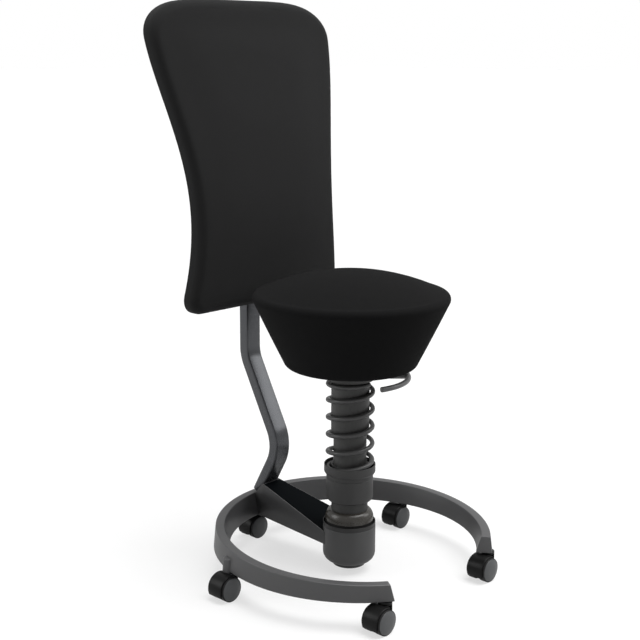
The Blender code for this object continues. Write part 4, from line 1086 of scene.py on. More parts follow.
@dataclass
class Castor:
    """A twin-wheel castor with a hood, trailing towards -X."""

    name: str
    x: float
    y: float
    trail: float = 0.018
    wheel: float = WHEEL_RADIUS * math.cos(math.pi / WHEEL_SIDES)
    inner_face: float = 0.0072
    wheel_width: float = 0.0152
    wheel_segments: int = 64
    tread_drop: float = 0.0012
    lip_gap: float = 0.0002
    lip_drop: float = 0.0008
    rim_wall: float = 0.003
    dish: float = 0.004
    boss: float = 0.0062
    boss_face: float = 0.0056
    boss_drop: float = 0.0005
    bore: float = 0.0033
    bore_depth: float = 0.0100
    disc: float = 0.0240
    disc_floor: float = 0.0138
    disc_inset: float = 0.0008
    disc_dome: float = 0.0030
    disc_shoulder: Corner = (0.013, 0.0022, 0.03)
    hood_radius: float = 0.0285
    hood_inner: float = 0.0268
    hood_width: float = 0.037
    hood_start: float = math.radians(66.0)
    hood_end: float = math.radians(206.0)
    hood_steps: int = 40
    hood_sink: float = 0.0001
    hood_bevel: float = 0.0004
    web: float = 0.0136
    web_front: float = 0.0115
    web_low: float = 0.012
    web_round: float = 0.002
    web_lap: float = 0.0004
    web_bevel: float = 0.0005
    web_steps: int = 8
    neck: float = 0.0138
    neck_back: float = 0.0080
    neck_low: float = 0.016
    neck_points: int = 33
    neck_bevel: float = 0.0010
    cap_top: float = 0.0574
    cap_sink: float = 0.0008
    cap_segments: int = 48
    stem: float = 0.0045
    stem_lift: float = 0.0017
    stem_top: float = 0.0788
    stem_segments: int = 32
    collar: float = 0.0085
    collar_lift: float = 0.0004
    boss_low: float = 0.0547

    def axle_frame(self, side: float) -> Matrix:
        """Return the matrix that sets a shape turned about Z on the axle, with +Z to one side."""
        lay = Matrix.Rotation(side * math.pi / 2, 4, "X")
        return Matrix.Translation((self.x - self.trail, self.y - side * self.inner_face, self.wheel)) @ lay

    def hood_angles(self, steps: int) -> list[float]:
        """Return angles along the hood's arc."""
        sweep = self.hood_end - self.hood_start
        return [self.hood_start + sweep * step / steps for step in range(steps + 1)]

    def round_axle(self, angle: float, radius: float) -> Point2:
        """Return the point, along and up, at an angle and a radius from the axle."""
        return -self.trail + radius * math.cos(angle), self.wheel + radius * math.sin(angle)

    def hood_cover(self) -> Obj:
        """Sweep the rounded cover over both wheels.

        Returns:
            The cover.
        """
        half = self.hood_width / 2
        corners = (
            (self.hood_inner, -half, 0.0003),
            (self.hood_radius, -half, 0.0016),
            (self.hood_radius, half, 0.0016),
            (self.hood_inner, half, 0.0003),
        )
        section = filleted(corners, True)
        rings = []
        for angle in self.hood_angles(self.hood_steps):
            spots = [(*self.round_axle(angle, radius), across) for radius, across in section]
            rings.append([(along, across, up) for along, up, across in spots])
        return softened(lofted("hood_cover", rings), self.hood_bevel)

    def hood_web(self, top: float) -> Obj:
        """Build the web between the wheels.

        Args:
            top: The height of the hood's top.

        Returns:
            The web.
        """
        radius = self.hood_inner + self.web_lap
        outline = [(self.web_front, self.web_low, self.web_round), (self.web_front, top, self.web_round)]
        outline += [(*self.round_axle(angle, radius), 0.0) for angle in self.hood_angles(self.web_steps)]
        outline.append((-self.trail, self.web_low, self.web_round))
        flat = filleted(outline, True)
        layers = [[(u, side * self.web / 2, v) for u, v in flat] for side in (-1.0, 1.0)]
        return softened(lofted("hood_web", layers), self.web_bevel)

    def hood_neck(self, top: float) -> Obj:
        """Build the round-fronted neck that holds the stem.

        Args:
            top: The height of the hood's top.

        Returns:
            The neck.
        """
        reach = math.acos(self.neck_back / self.neck)
        angles = np.linspace(-reach, reach, self.neck_points)
        front = [(self.neck * math.cos(a), self.neck * math.sin(a)) for a in angles]
        layers = [[(u, across, z) for u, across in front] for z in (self.neck_low, top)]
        return softened(lofted("hood_neck", layers), self.neck_bevel)

    def hood(self) -> Obj:
        """Build the hood: cover, web and neck, with a cap where the ring has no boss.

        Returns:
            The hood as one piece.
        """
        top = self.wheel + self.hood_radius - self.hood_sink
        pieces = [self.hood_cover(), self.hood_web(top), self.hood_neck(top)]
        if self.name.endswith("front"):
            low = top - self.cap_sink
            cap = [
                (0.0, self.cap_top, 0.0), (self.neck, self.cap_top, 0.0006),
                (self.neck, low, 0.0006), (0.0, low, 0.0),
            ]
            pieces.append(turned("hood_cap", cap, segments=self.cap_segments))
        made = merged(f"hood_{self.name}", pieces)
        return moved(made, Matrix.Translation((self.x, self.y, 0.0)))

    def wheels(self) -> None:
        """Build both wheels, each a tyre and a domed disc."""
        wide = self.wheel_width
        tyre = [
            (0.0, self.disc_floor, 0.0),
            (self.disc, self.disc_floor, 0.0002),
            (self.disc + self.lip_gap, wide - self.lip_drop, 0.0002),
            (self.wheel, wide - self.tread_drop, 0.0006),
            (self.wheel, 0.0, 0.0010),
            (self.wheel - self.rim_wall, 0.0, 0.0006),
            (self.wheel - self.dish, self.dish, 0.0008),
            (self.boss, self.dish, 0.0008),
            (self.boss_face, self.boss_drop, 0.0004),
            (self.bore, self.boss_drop, 0.0),
            (self.bore, self.bore_depth, 0.0),
            (0.0, self.bore_depth, 0.0),
        ]
        shoulder, shoulder_up, shoulder_round = self.disc_shoulder
        disc = [
            (0.0, wide + self.disc_dome, 0.0),
            (shoulder, wide + shoulder_up, shoulder_round),
            (self.disc - self.disc_inset, wide - self.lip_gap, 0.0010),
            (self.disc - self.disc_inset, self.disc_floor + FIT, 0.0),
            (0.0, self.disc_floor + FIT, 0.0),
        ]
        body = f"castor_wheels_{self.name}"
        for label, side in (("left", -1.0), ("right", 1.0)):
            place = self.axle_frame(side)
            rubber = turned(f"tyre_{label}_{self.name}", tyre, segments=self.wheel_segments)
            dressed(moved(rubber, place), TYRE_GREY, body, [f"castor_wheel_{label}_{self.name}"])
            face = turned(f"disc_{label}_{self.name}", disc, segments=self.wheel_segments)
            dressed(moved(face, place), DISC_GREY, body)

    def build(self) -> None:
        """Build the castor's hood, stem and wheels."""
        body = f"castor_{self.name}"
        dressed(self.hood(), HOOD_BLACK, body, [f"castor_hood_{self.name}"])
        seat, foot = self.wheel + self.hood_radius + self.collar_lift, self.web_low + self.stem_lift
        stem = [
            (0.0, self.stem_top, 0.0),
            (self.stem, self.stem_top, 0.0006),
            (self.stem, self.boss_low - FIT, 0.0),
            (self.collar, self.boss_low - FIT, 0.0004),
            (self.collar, seat, 0.0004),
            (self.stem, seat, 0.0),
            (self.stem, foot, 0.0),
            (0.0, foot, 0.0),
        ]
        made = turned(f"stem_{self.name}", stem, segments=self.stem_segments)
        moved(made, Matrix.Translation((self.x, self.y, 0.0)))
        dressed(made, BRIGHT_STEEL, body, [f"castor_stem_{self.name}"])
        self.wheels()


@dataclass
class Hub:
    """The hub at the column's foot, with its trim ring and cap."""

    radius: float = 0.0550
    rim_wall: float = 0.0019
    rim: float = 0.0983
    rim_depth: float = 0.0303
    seat: float = 0.0465
    floor: float = 0.034
    low: float = 0.0200
    corner: float = 0.020
    ring_gap: float = 0.0018
    ring_lift: float = 0.0002
    ring_wall: float = 0.0012
    groove_wall: float = 0.0004
    ring_top: float = 0.1076
    cap_radius: float = 0.037
    cap_slope: float = 0.003
    cap_low: float = 0.0120
    recess: float = 0.026
    recess_floor: float = 0.025
    recess_depth: float = 0.0012

    def build(self) -> None:
        """Build the housing, the trim ring and the cap."""
        body = Body.BASE.value
        bore = self.radius - self.rim_wall
        housing = [
            (0.0, self.floor, 0.0),
            (self.seat, self.floor, 0.0),
            (self.seat, self.rim - self.rim_depth, 0.0),
            (bore, self.rim - self.rim_depth, 0.0),
            (bore, self.rim, 0.0005),
            (self.radius, self.rim, 0.0008),
            (self.radius, self.low, self.corner),
            (0.0, self.low, 0.0),
        ]
        dressed(turned("hub_body", housing), HUB_COAT, body, ["hub_housing"])
        foot, edge, inner = self.rim + self.ring_gap, self.radius - FIT, self.radius - self.ring_wall
        groove, seat = inner + self.groove_wall, self.rim + self.ring_lift
        trim = [
            (inner, self.ring_top, 0.0002), (edge, self.ring_top, 0.0003), (edge, foot, 0.0002),
            (groove, foot, 0.0), (groove, seat, 0.0), (inner, seat, 0.0),
        ]
        dressed(turned("hub_trim", trim, closed=True), TRIM_BLACK, body, ["hub_ring"])
        top, roof = self.low - FIT, self.cap_low + self.recess_depth
        cap = [
            (0.0, top, 0.0), (self.cap_radius, top, 0.0004),
            (self.cap_radius - self.cap_slope, self.cap_low, 0.0025), (self.recess, self.cap_low, 0.0006),
            (self.recess_floor, roof, 0.0006), (0.0, roof, 0.0),
        ]
        dressed(turned("hub_cover", cap), GRIP_BLACK, body, ["hub_cap"])


@dataclass
class Column:
    """The tilting column: foot, rubber dome and lower tube."""

    pivot: float = 0.0955
    neck: float = 0.0378
    neck_top: float = 0.1527
    spigot_up: float = 0.019
    socket: float = 0.0143
    socket_roof: float = 0.0047
    flange: float = 0.0386
    flange_top: float = 0.1280
    flange_low: float = 0.1200
    dome_wall: float = 0.003
    lip: float = 0.0504
    lip_up: float = 0.1150
    lip_low: float = 0.1110
    crown: float = 0.019
    skirt: float = 0.0508
    skirt_start: float = math.radians(61.0)
    skirt_end: float = math.radians(91.0)
    lower: float = 0.0343
    lower_wall: float = 0.0025
    lower_top: float = 0.3397
    dome_steps: int = 24

    def dome_profile(self) -> list[Corner]:
        """Lay out the rubber dome's closed section: a crown that ends in an upright lip.

        Returns:
            The section's corners.
        """
        mouth = self.neck + FIT
        rows: list[Corner] = []
        for depth, sign in ((0.0, 1), (self.dome_wall, -1)):
            lip = self.lip - depth
            face: list[Corner] = []
            for turn in np.linspace(math.pi / 2, 0.0, self.dome_steps + 1):
                out = mouth + (lip - mouth) * math.cos(turn)
                face.append((out, self.lip_up + (self.crown - depth) * math.sin(turn), 0.0))
            face.append((lip, self.lip_low, 0.0008))
            rows += face[::sign]
        return rows

    def skirt_profile(self) -> list[Corner]:
        """Lay out the closed section of the round skirt that runs down into the hub.

        Returns:
            The section's corners.
        """
        rows: list[Corner] = []
        for radius, sign in ((self.skirt, 1), (self.skirt - self.dome_wall, -1)):
            turns = np.linspace(self.skirt_start, self.skirt_end, self.dome_steps + 1)[::sign]
            rows += [(radius * math.sin(turn), self.pivot + radius * math.cos(turn), 0.0) for turn in turns]
        return rows

    def build(self) -> None:
        """Build the foot, the dome, its skirt and the lower tube."""
        body = Body.COLUMN.value
        bore = self.lower - self.lower_wall
        foot = [
            (0.0, self.neck_top + self.spigot_up, 0.0),
            (bore - FIT, self.neck_top + self.spigot_up, 0.0),
            (bore - FIT, self.neck_top, 0.0),
            (self.neck, self.neck_top, 0.0008),
            (self.neck, self.flange_top, 0.0003),
            (self.flange, self.flange_top, 0.0002),
            (self.flange, self.flange_low, 0.0006),
            (self.socket, self.flange_low, 0.0),
            (self.socket, self.neck_top - self.socket_roof, 0.0),
            (0.0, self.neck_top - self.socket_roof, 0.0),
        ]
        dressed(turned("column_neck", foot), COLUMN_COAT, body, ["column_foot"])
        dome = turned("rubber_dome", self.dome_profile(), closed=True)
        dressed(dome, DOME_RUBBER, body, ["rubber_collar"])
        # The skirt's near-black finish paints the shade that falls in the groove under the dome's lip.
        dressed(turned("dome_skirt", self.skirt_profile(), closed=True), SKIRT_RUBBER_PAINTED_SHADE, body)
        low = self.neck_top + FIT
        tube = [
            (bore, self.lower_top, 0.0005), (self.lower, self.lower_top, 0.0006),
            (self.lower, low, 0.0), (bore, low, 0.0),
        ]
        dressed(turned("column_lower", tube, closed=True), COLUMN_COAT, body, ["lower_tube"])


@dataclass
class Adjuster:
    """The turning sleeve and the cup that the spring stands in."""

    sleeve: float = 0.0487
    low: float = 0.1530
    top: float = 0.2120
    wall: float = 0.007
    floor: float = 0.006
    corner: float = 0.0095
    band_inset: float = 0.0002
    line: float = 0.0085
    line_depth: float = 0.0009
    line_half: float = 0.0006
    bore: float = 0.0347
    core: float = 0.0388
    cup_bore: float = 0.05154
    cup: float = 0.05344
    cup_low: float = 0.2123
    cup_top: float = 0.2320
    cup_floor: float = 0.0024
    cup_slope: float = 0.0026
    cup_slope_up: float = 0.004
    shank: float = 0.0413
    shank_length: float = 0.040

    def build(self) -> None:
        """Build the sleeve and the cup."""
        inner, band = self.sleeve - self.wall, self.sleeve - self.band_inset
        mark = self.top - self.line
        sleeve = [
            (inner, self.top, 0.0),
            (band, self.top, 0.0006),
            (band, mark + self.line_half, 0.0002),
            (self.sleeve - self.line_depth, mark, 0.0002),
            (self.sleeve, mark - self.line_half, 0.0002),
            (self.sleeve, self.low, self.corner),
            (self.bore, self.low, 0.0006),
            (self.bore, self.low + self.floor, 0.0),
            (inner, self.low + self.floor, 0.0),
        ]
        grip = turned("grip_sleeve", sleeve, closed=True)
        dressed(grip, GRIP_BLACK, Body.ADJUSTER.value, ["adjuster_sleeve"])
        cup = [
            (self.bore, self.cup_top, 0.0006),
            (self.core, self.cup_top, 0.0006),
            (self.core, self.cup_low + self.cup_floor, 0.0),
            (self.cup_bore, self.cup_low + self.cup_floor, 0.0),
            (self.cup_bore, self.cup_top, 0.0006),
            (self.cup, self.cup_top, 0.0008),
            (self.cup, self.cup_low + self.cup_slope_up, 0.003),
            (self.cup - self.cup_slope, self.cup_low, 0.0008),
            (self.shank, self.cup_low, 0.0),
            (self.shank, self.cup_low - self.shank_length, 0.0),
            (self.bore, self.cup_low - self.shank_length, 0.0),
        ]
        dressed(turned("spring_seat", cup, closed=True), GRIP_BLACK, Body.CUP.value, ["spring_cup"])


@dataclass
class Coil:
    """The coil spring round the column."""

    radius: float = 0.0460
    wire: float = 0.0048
    low: float = 0.2150
    length: float = 0.1972
    turns: float = 5.8
    end_turns: float = 0.5
    end_pitch: float = 0.0108
    start: float = math.radians(-10.7)
    coarse: int = 18
    fine: int = 64
    sides: int = 20

    def build(self) -> None:
        """Wind the spring between the cup below and the plate above."""
        made = grown(
            "coil", [(0.0, 0.0, self.low)], coil_tree(), COIL_COAT,
            Radius=self.radius, Wire=self.wire, Low=self.low, Length=self.length, Turns=self.turns,
            End_Turns=self.end_turns, End_Pitch=self.end_pitch, Start=self.start,
            Points=round(self.turns * self.coarse) + 1, Fine_Points=round(self.turns * self.fine) + 1,
            Sides=self.sides,
        )
        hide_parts("coil_spring")
        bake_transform(made)
        LOG.info("coil: %d faces between cup and plate", len(made.data.polygons))


@dataclass
class UpperColumn:
    """The sprung upper tube and the plate on the spring."""

    tube: float = 0.0395
    wall: float = 0.0029
    tube_low: float = 0.2990
    tube_top: float = 0.4247
    plate: float = 0.0505
    plate_low: float = 0.4125
    plate_top: float = 0.4225
    slant: float = 0.0027
    slant_height: float = 0.007

    def build(self) -> None:
        """Build the tube and the plate."""
        body = Body.UPPER.value
        bore, inner = self.tube - self.wall, self.tube + FIT
        tube = [
            (bore, self.tube_top, 0.0005), (self.tube, self.tube_top, 0.0006),
            (self.tube, self.tube_low, 0.0010), (bore, self.tube_low, 0.0004),
        ]
        dressed(turned("column_upper", tube, closed=True), COLUMN_COAT, body, ["upper_tube"])
        plate = [
            (inner, self.plate_top, 0.0),
            (self.plate, self.plate_top, 0.0010),
            (self.plate, self.plate_low + self.slant_height, 0.0012),
            (self.plate - self.slant, self.plate_low, 0.0008),
            (inner, self.plate_low, 0.0),
        ]
        dressed(turned("spring_plate", plate, closed=True), COLUMN_COAT, body, ["upper_spring_plate"])


@dataclass
class Lever:
    """The release lever: a bent shank under the seat and its arc handle."""

    azimuth: float = math.radians(-46.0)
    rod: float = 0.0055
    pivot_out: float = 0.025
    pivot_up: float = 0.4885
    tail: float = 0.029
    knee: float = 0.060
    drop: float = 0.0705
    reach: float = 0.1178
    lean: float = 0.008
    bend: float = 0.014
    bend_steps: int = 12
    span: float = math.radians(62.0)
    end_edge: float = 0.0016
    arc_steps: int = 72
    sides: int = 24

    def build(self) -> None:
        """Build the shank and the handle as one piece."""
        knee = self.knee - self.pivot_out
        corners = [
            (-self.tail, 0.0, 0.0),
            (knee, 0.0, 0.0),
            (knee + self.lean, 0.0, -self.drop),
            (self.reach - self.pivot_out, 0.0, -self.drop),
        ]
        path = bent_path(corners, self.bend, self.bend_steps)
        shank = swept("shank", path, self.rod, self.sides, self.end_edge)
        trim = self.end_edge / self.reach
        grip = []
        for angle in np.linspace(trim - self.span, self.span - trim, self.arc_steps + 1):
            across = self.reach * math.sin(angle)
            grip.append((self.reach * math.cos(angle) - self.pivot_out, across, -self.drop))
        handle = swept("handle", grip, self.rod, self.sides, self.end_edge)
        turn = Matrix.Rotation(self.azimuth, 4, "Z")
        place = turn @ Matrix.Translation((self.pivot_out, 0.0, self.pivot_up))
        made = moved(merged("lever_handle", [shank, handle]), place)
        dressed(made, LEVER_COAT, Body.LEVER.value, ["release_lever"])


@dataclass
class Seat:
    """The round cushion: a crowned top over conical sides, drawn in under the board."""

    rim_radius: float = 0.200
    foot_radius: float = 0.1385
    low: float = 0.4405
    rim: float = 0.583
    top: float = 0.6365
    rim_round: float = 0.012
    foot_round: float = 0.016
    draw_in: float = -0.0005
    tilt: float = math.radians(20.0)
    pocket: float = 0.095
    pocket_edge: float = 0.012
    board: float = 0.1503
    board_low: float = 0.5012
    board_top: float = 0.5138
    crown_rows: int = 34
    side_rows: int = 26
    round_rows: int = 9
    segments: int = 160
    flat_facing: float = 0.8
    held_width: float = 0.06
    staple_circle: float = 0.107
    staple_spacing: float = 0.021
    staple_size: Point3 = (0.0052, 0.0006, 0.0005)
    circle_points: int = 120

    def arc(self, radius: float, height: float, size: float, first: float, last: float) -> list[Corner]:
        """Return profile points on an arc from one angle to another."""
        angles = np.linspace(first, last, self.round_rows)
        return [(radius + size * math.cos(a), height + size * math.sin(a), 0.0) for a in angles]

    def profile(self) -> list[Corner]:
        """Lay out the cushion's section from the top's middle to the board's pocket.

        Returns:
            The section's corners.
        """
        rim_radius = self.rim_radius - self.rim_round
        crown = []
        for share in np.linspace(0.0, 1.0, self.crown_rows):
            fall = (self.top - self.rim - self.rim_round) * share ** 2
            crown.append((rim_radius * share, self.top - fall, 0.0))
        rim = self.arc(rim_radius, self.rim, self.rim_round, math.pi / 2, -self.tilt)
        foot_radius = self.foot_radius - self.foot_round
        foot = self.arc(foot_radius, self.low + self.foot_round, self.foot_round, -self.tilt, -math.pi / 2)
        side = []
        for share in np.linspace(0.0, 1.0, self.side_rows)[1:-1]:
            bow = self.draw_in * 4 * share * (1 - share)
            radius = rim[-1][0] + (foot[0][0] - rim[-1][0]) * share - bow
            side.append((radius, rim[-1][1] + (foot[0][1] - rim[-1][1]) * share, 0.0))
        under = [
            (self.pocket + self.pocket_edge, self.low, 0.0),
            (self.pocket, self.low, 0.003),
            (self.pocket, self.board_low, 0.0),
            (self.board, self.board_low, 0.0),
            (self.board, self.board_top, 0.0),
            (0.0, self.board_top, 0.0),
        ]
        return crown + rim[1:] + side + foot + under

    def wrap(self, point: Vector, face: bpy.types.MeshPolygon) -> Point2:
        """Lay the cloth flat over the top and round the sides.

        Args:
            point: A corner of the face.
            face: The face.

        Returns:
            The corner's place on the cloth.
        """
        if face.center.z > self.rim or abs(face.normal.z) > self.flat_facing:
            return point.x, point.y
        middle = math.atan2(face.center.y, face.center.x)
        turn = math.atan2(point.y, point.x) - middle
        turn = (turn + math.pi) % math.tau - math.pi
        return (middle + turn) * self.rim_radius, point.z

    def held(self, point: Vector) -> float:
        """Hold the sides and the board, and leave the top's middle free.

        Args:
            point: A point of the cushion.

        Returns:
            How firmly it is held, from 0 to 1.
        """
        if point.z < self.rim:
            return 1.0
        inside = self.rim_radius - math.hypot(point.x, point.y) - self.rim_round
        return 1.0 - eased(inside / self.held_width)

    def build(self) -> None:
        """Build the cushion and the staples that hold its cover underneath."""
        cushion = turned("seat_pad", self.profile(), segments=self.segments)
        swollen(cushion, self.held)
        cloth_map(cushion, self.wrap)
        dressed(cushion, SEAT_CLOTH, Body.SEAT.value, ["seat_cushion"])
        angles = [math.tau * k / self.circle_points for k in range(self.circle_points)]
        size = self.staple_circle
        staples = grown(
            "seat_staples", [(size * math.cos(a), size * math.sin(a), self.low) for a in angles],
            staple_tree(), BRIGHT_STEEL, closed=True, Spacing=self.staple_spacing, Size=self.staple_size,
        )
        dressed(staples, BRIGHT_STEEL, Body.SEAT.value)


@dataclass
class BackBar:
    """The flat bar that rises from the arm to the backrest."""

    width: float = 0.042
    thick: float = 0.0245
    edge: float = 0.0042
    end_edge: float = 0.0012
    top: float = 0.740
    back: float = 0.2957
    bend_up: float = 0.4145
    knee: float = 0.195
    knee_up: float = 0.223
    foot: float = 0.2575
    foot_up: float = 0.110
    bend: float = 0.080
    bend_steps: int = 24

    def build(self) -> None:
        """Sweep the rounded bar along its bent line and cap its top."""
        corners = [
            (0.0, self.foot, self.foot_up), (0.0, self.knee, self.knee_up),
            (0.0, self.back, self.bend_up), (0.0, self.back, self.top),
        ]
        line = bent_path(corners, self.bend, self.bend_steps)
        half, deep = self.width / 2, self.thick / 2
        box = ((-half, -deep), (half, -deep), (half, deep), (-half, deep))
        section = filleted([(x, depth, self.edge) for x, depth in box], True)
        rings = []
        for before, point, after in zip([line[0]] + line, line, line[1:] + [line[-1]]):
            along = (after - before).normalized()
            across = along.cross(Vector((1.0, 0.0, 0.0)))
            rings.append([point + Vector((x, 0.0, 0.0)) - across * depth for x, depth in section])
        bar = softened(lofted("bar", rings), self.end_edge)
        dressed(bar, BAR_COAT, Body.BASE.value, ["back_bar"])


@dataclass
class Backrest:
    """The padded back: a cushion, the shell behind it and the bracket on the bar.

    A station is a height, the half width there and the depth of the back face.
    """

    stations: tuple[Point3, ...] = (
        (0.538, 0.2231, 0.2720),
        (0.700, 0.2007, 0.2580),
        (0.850, 0.2086, 0.2723),
        (1.000, 0.2402, 0.3040),
        (1.173, 0.2499, 0.3427),
    )
    arch: float = 0.080
    arch_power: float = 5.0
    arch_start: float = math.radians(4.0)
    foot_corner: float = 0.042
    thick: float = 0.0350
    front_round: float = 0.018
    back_round: float = 0.003
    crown: float = 0.003
    crown_power: int = 4
    shell_inset: float = 0.009
    shell_gap: float = 0.0003
    shell_thick: float = 0.009
    shell_round: float = 0.005
    shell_edge: float = 0.0005
    rows: int = 64
    corner_rows: int = 14
    columns: int = 44
    round_rows: int = 9
    edge_facing: float = 0.75
    held_width: float = 0.07
    bracket_edge: float = 0.0008
    screw_out: float = 0.0245
    screw_face: float = 0.2832
    screw_heights: tuple[float, ...] = (0.612, 0.665, 0.718)
    screw_radius: float = 0.0042
    screw_head: float = 0.0026

    def curve(self, column: int, z: float) -> float:
        """Run a smooth curve through one column of the stations.

        Args:
            column: The column's number.
            z: A height.

        Returns:
            The curve's value at that height.
        """
        heights = [station[0] for station in self.stations]
        values = [station[column] for station in self.stations]
        return float(np.polyval(np.polyfit(heights, values, len(heights) - 1), z))

    def loss(self, distance: float, radius: float) -> float:
        """Find how far a rounded corner draws a side in.

        Args:
            distance: The distance from the side's end.
            radius: The corner's radius.

        Returns:
            How far the side is drawn in there.
        """
        if distance >= radius:
            return 0.0
        return radius - math.sqrt(radius ** 2 - (radius - max(distance, 0.0)) ** 2)

    def heights(self, inset: float) -> list[float]:
        """Space out the outline's heights, closer together in its corners.

        Args:
            inset: How far the outline is drawn in.

        Returns:
            The heights from the foot to the top.
        """
        low, high = self.stations[0][0] + inset, self.stations[-1][0] - inset
        quarter = np.linspace(0.0, math.pi / 2, self.corner_rows + 1)
        foot = low + (self.foot_corner - inset) * (1.0 - np.cos(quarter))
        over = np.linspace(math.pi / 2, self.arch_start, self.corner_rows + 1)
        top = high - (self.arch - inset) * (1.0 - np.cos(over))
        middle = np.linspace(foot[-1], top[0], self.rows + 1)
        return [float(z) for z in np.concatenate([foot[:-1], middle, top[1:]])]

    def half(self, z: float, inset: float) -> float:
        """Find the outline's half width.

        Args:
            z: A height.
            inset: How far the outline is drawn in.

        Returns:
            The half width at that height.
        """
        rise = 1.0 - (self.stations[-1][0] - inset - z) / (self.arch - inset)
        arch = (1.0 - min(max(rise, 0.0), 1.0) ** 2) ** (1.0 / self.arch_power)
        half = (self.curve(1, z) - inset) * arch
        return half - self.loss(z - self.stations[0][0] - inset, self.foot_corner - inset)

    def grid(self, inset: float, depth: float, crown: float = 0.0) -> np.ndarray:
        """Lay points over the outline.

        Args:
            inset: How far the outline is drawn in.
            depth: Distance in front of the back face.
            crown: Extra depth at the middle.

        Returns:
            Points by row, column and axis.
        """
        zs = self.heights(inset)
        spread = np.linspace(-1.0, 1.0, self.columns + 1)
        rise = np.linspace(-1.0, 1.0, len(zs))
        points = np.zeros((len(zs), self.columns + 1, 3))
        for i, z in enumerate(zs):
            swell = crown * (1 - spread ** self.crown_power) * (1 - rise[i] ** self.crown_power)
            points[i, :, 0] = spread * self.half(z, inset)
            points[i, :, 1] = self.curve(2, z) - depth - swell
            points[i, :, 2] = z
        return points

    def slab(self, name: str, layers: Sequence[Point2], crown: float) -> Obj:
        """Build a slab from edge layers of (inset, depth), closed by a grid at each end.

        Args:
            name: The piece's name.
            layers: The edge's section from the back to the front.
            crown: Extra depth at the front's middle.

        Returns:
            The slab.
        """
        grids = [self.grid(inset, depth) for inset, depth in layers[:-1]]
        grids.append(self.grid(*layers[-1], crown))
        loops = []
        for points in grids:
            loop = list(points[0]) + list(points[1:-1, -1])
            loops.append(loop + list(points[-1, ::-1]) + list(points[-2:0:-1, 0]))
        verts = [tuple(p) for loop in loops for p in loop]
        faces = banded(len(loops), len(loops[0]))
        for points in (grids[0], grids[-1]):
            start = len(verts)
            rows, columns = points.shape[:2]
            verts += [tuple(p) for p in points.reshape(-1, 3)]
            for i in range(rows - 1):
                for j in range(columns - 1):
                    a = start + i * columns + j
                    faces.append((a, a + 1, a + columns + 1, a + columns))
        return new_object(name, verts, faces)

    def edge(self, back_round: float, front_round: float, thick: float, inset: float) -> list[Point2]:
        """Lay out a slab's edge, rounded at the back and the front.

        Args:
            back_round: The back's rounding.
            front_round: The front's rounding.
            thick: The slab's thickness.
            inset: How far the slab's outline is drawn in.

        Returns:
            Layers of (inset, depth).
        """
        turns = np.linspace(0.0, math.pi / 2, self.round_rows)
        layers = []
        for turn in turns:
            layers.append((inset + back_round * (1 - math.sin(turn)), back_round * (1 - math.cos(turn))))
        for turn in turns:
            drawn = inset + front_round * (1 - math.cos(turn))
            layers.append((drawn, thick - front_round + front_round * math.sin(turn)))
        return layers

    def wrap(self, point: Vector, face: bpy.types.MeshPolygon) -> Point2:
        """Lay the cloth over the front and on round the edges.

        Args:
            point: A corner of the face.
            face: The face.

        Returns:
            The corner's place on the cloth.
        """
        if abs(face.normal.x) > self.edge_facing:
            return point.y, point.z
        if abs(face.normal.z) > self.edge_facing:
            return point.x, point.y
        return point.x, point.z

    def held(self, point: Vector) -> float:
        """Hold the back and the edges, and leave the front's middle free.

        Args:
            point: A point of the pad.

        Returns:
            How firmly it is held, from 0 to 1.
        """
        if point.y > self.curve(2, point.z) - self.thick + self.front_round / 2:
            return 1.0
        ends = min(point.z - self.stations[0][0], self.stations[-1][0] - point.z)
        inside = min(ends, self.half(point.z, 0.0) - abs(point.x)) - self.front_round
        return 1.0 - eased(inside / self.held_width)

    def build(self) -> None:
        """Build the pad, its shell, the bracket and the screws."""
        body = Body.BASE.value
        pad_edge = self.edge(self.back_round, self.front_round, self.thick, 0.0)
        pad = self.slab("back_pad", pad_edge, self.crown)
        swollen(pad, self.held)
        cloth_map(pad, self.wrap)
        dressed(pad, BACK_CLOTH, body, ["backrest_pad"])
        shell_edge = self.edge(self.shell_edge, self.shell_round, self.shell_thick, self.shell_inset)
        behind = [(inset, -self.shell_gap - depth) for inset, depth in shell_edge]
        dressed(self.slab("back_shell", behind, 0.0), SHELL_BLACK, body, ["backrest_shell"])
        bracket = softened(copied("back_bracket", "backrest_bracket"), self.bracket_edge)
        dressed(bracket, COLUMN_COAT, body, ["backrest_bracket"], Slot.STEEL)
        sides = (-self.screw_out, self.screw_out)
        screws = grown(
            "bracket_screws", [(x, self.screw_face, z) for x in sides for z in self.screw_heights],
            screw_tree(), BRIGHT_STEEL, facing=(0.0, 1.0, 0.0),
            Radius=self.screw_radius, Head=self.screw_head,
        )
        dressed(screws, BRIGHT_STEEL, body)


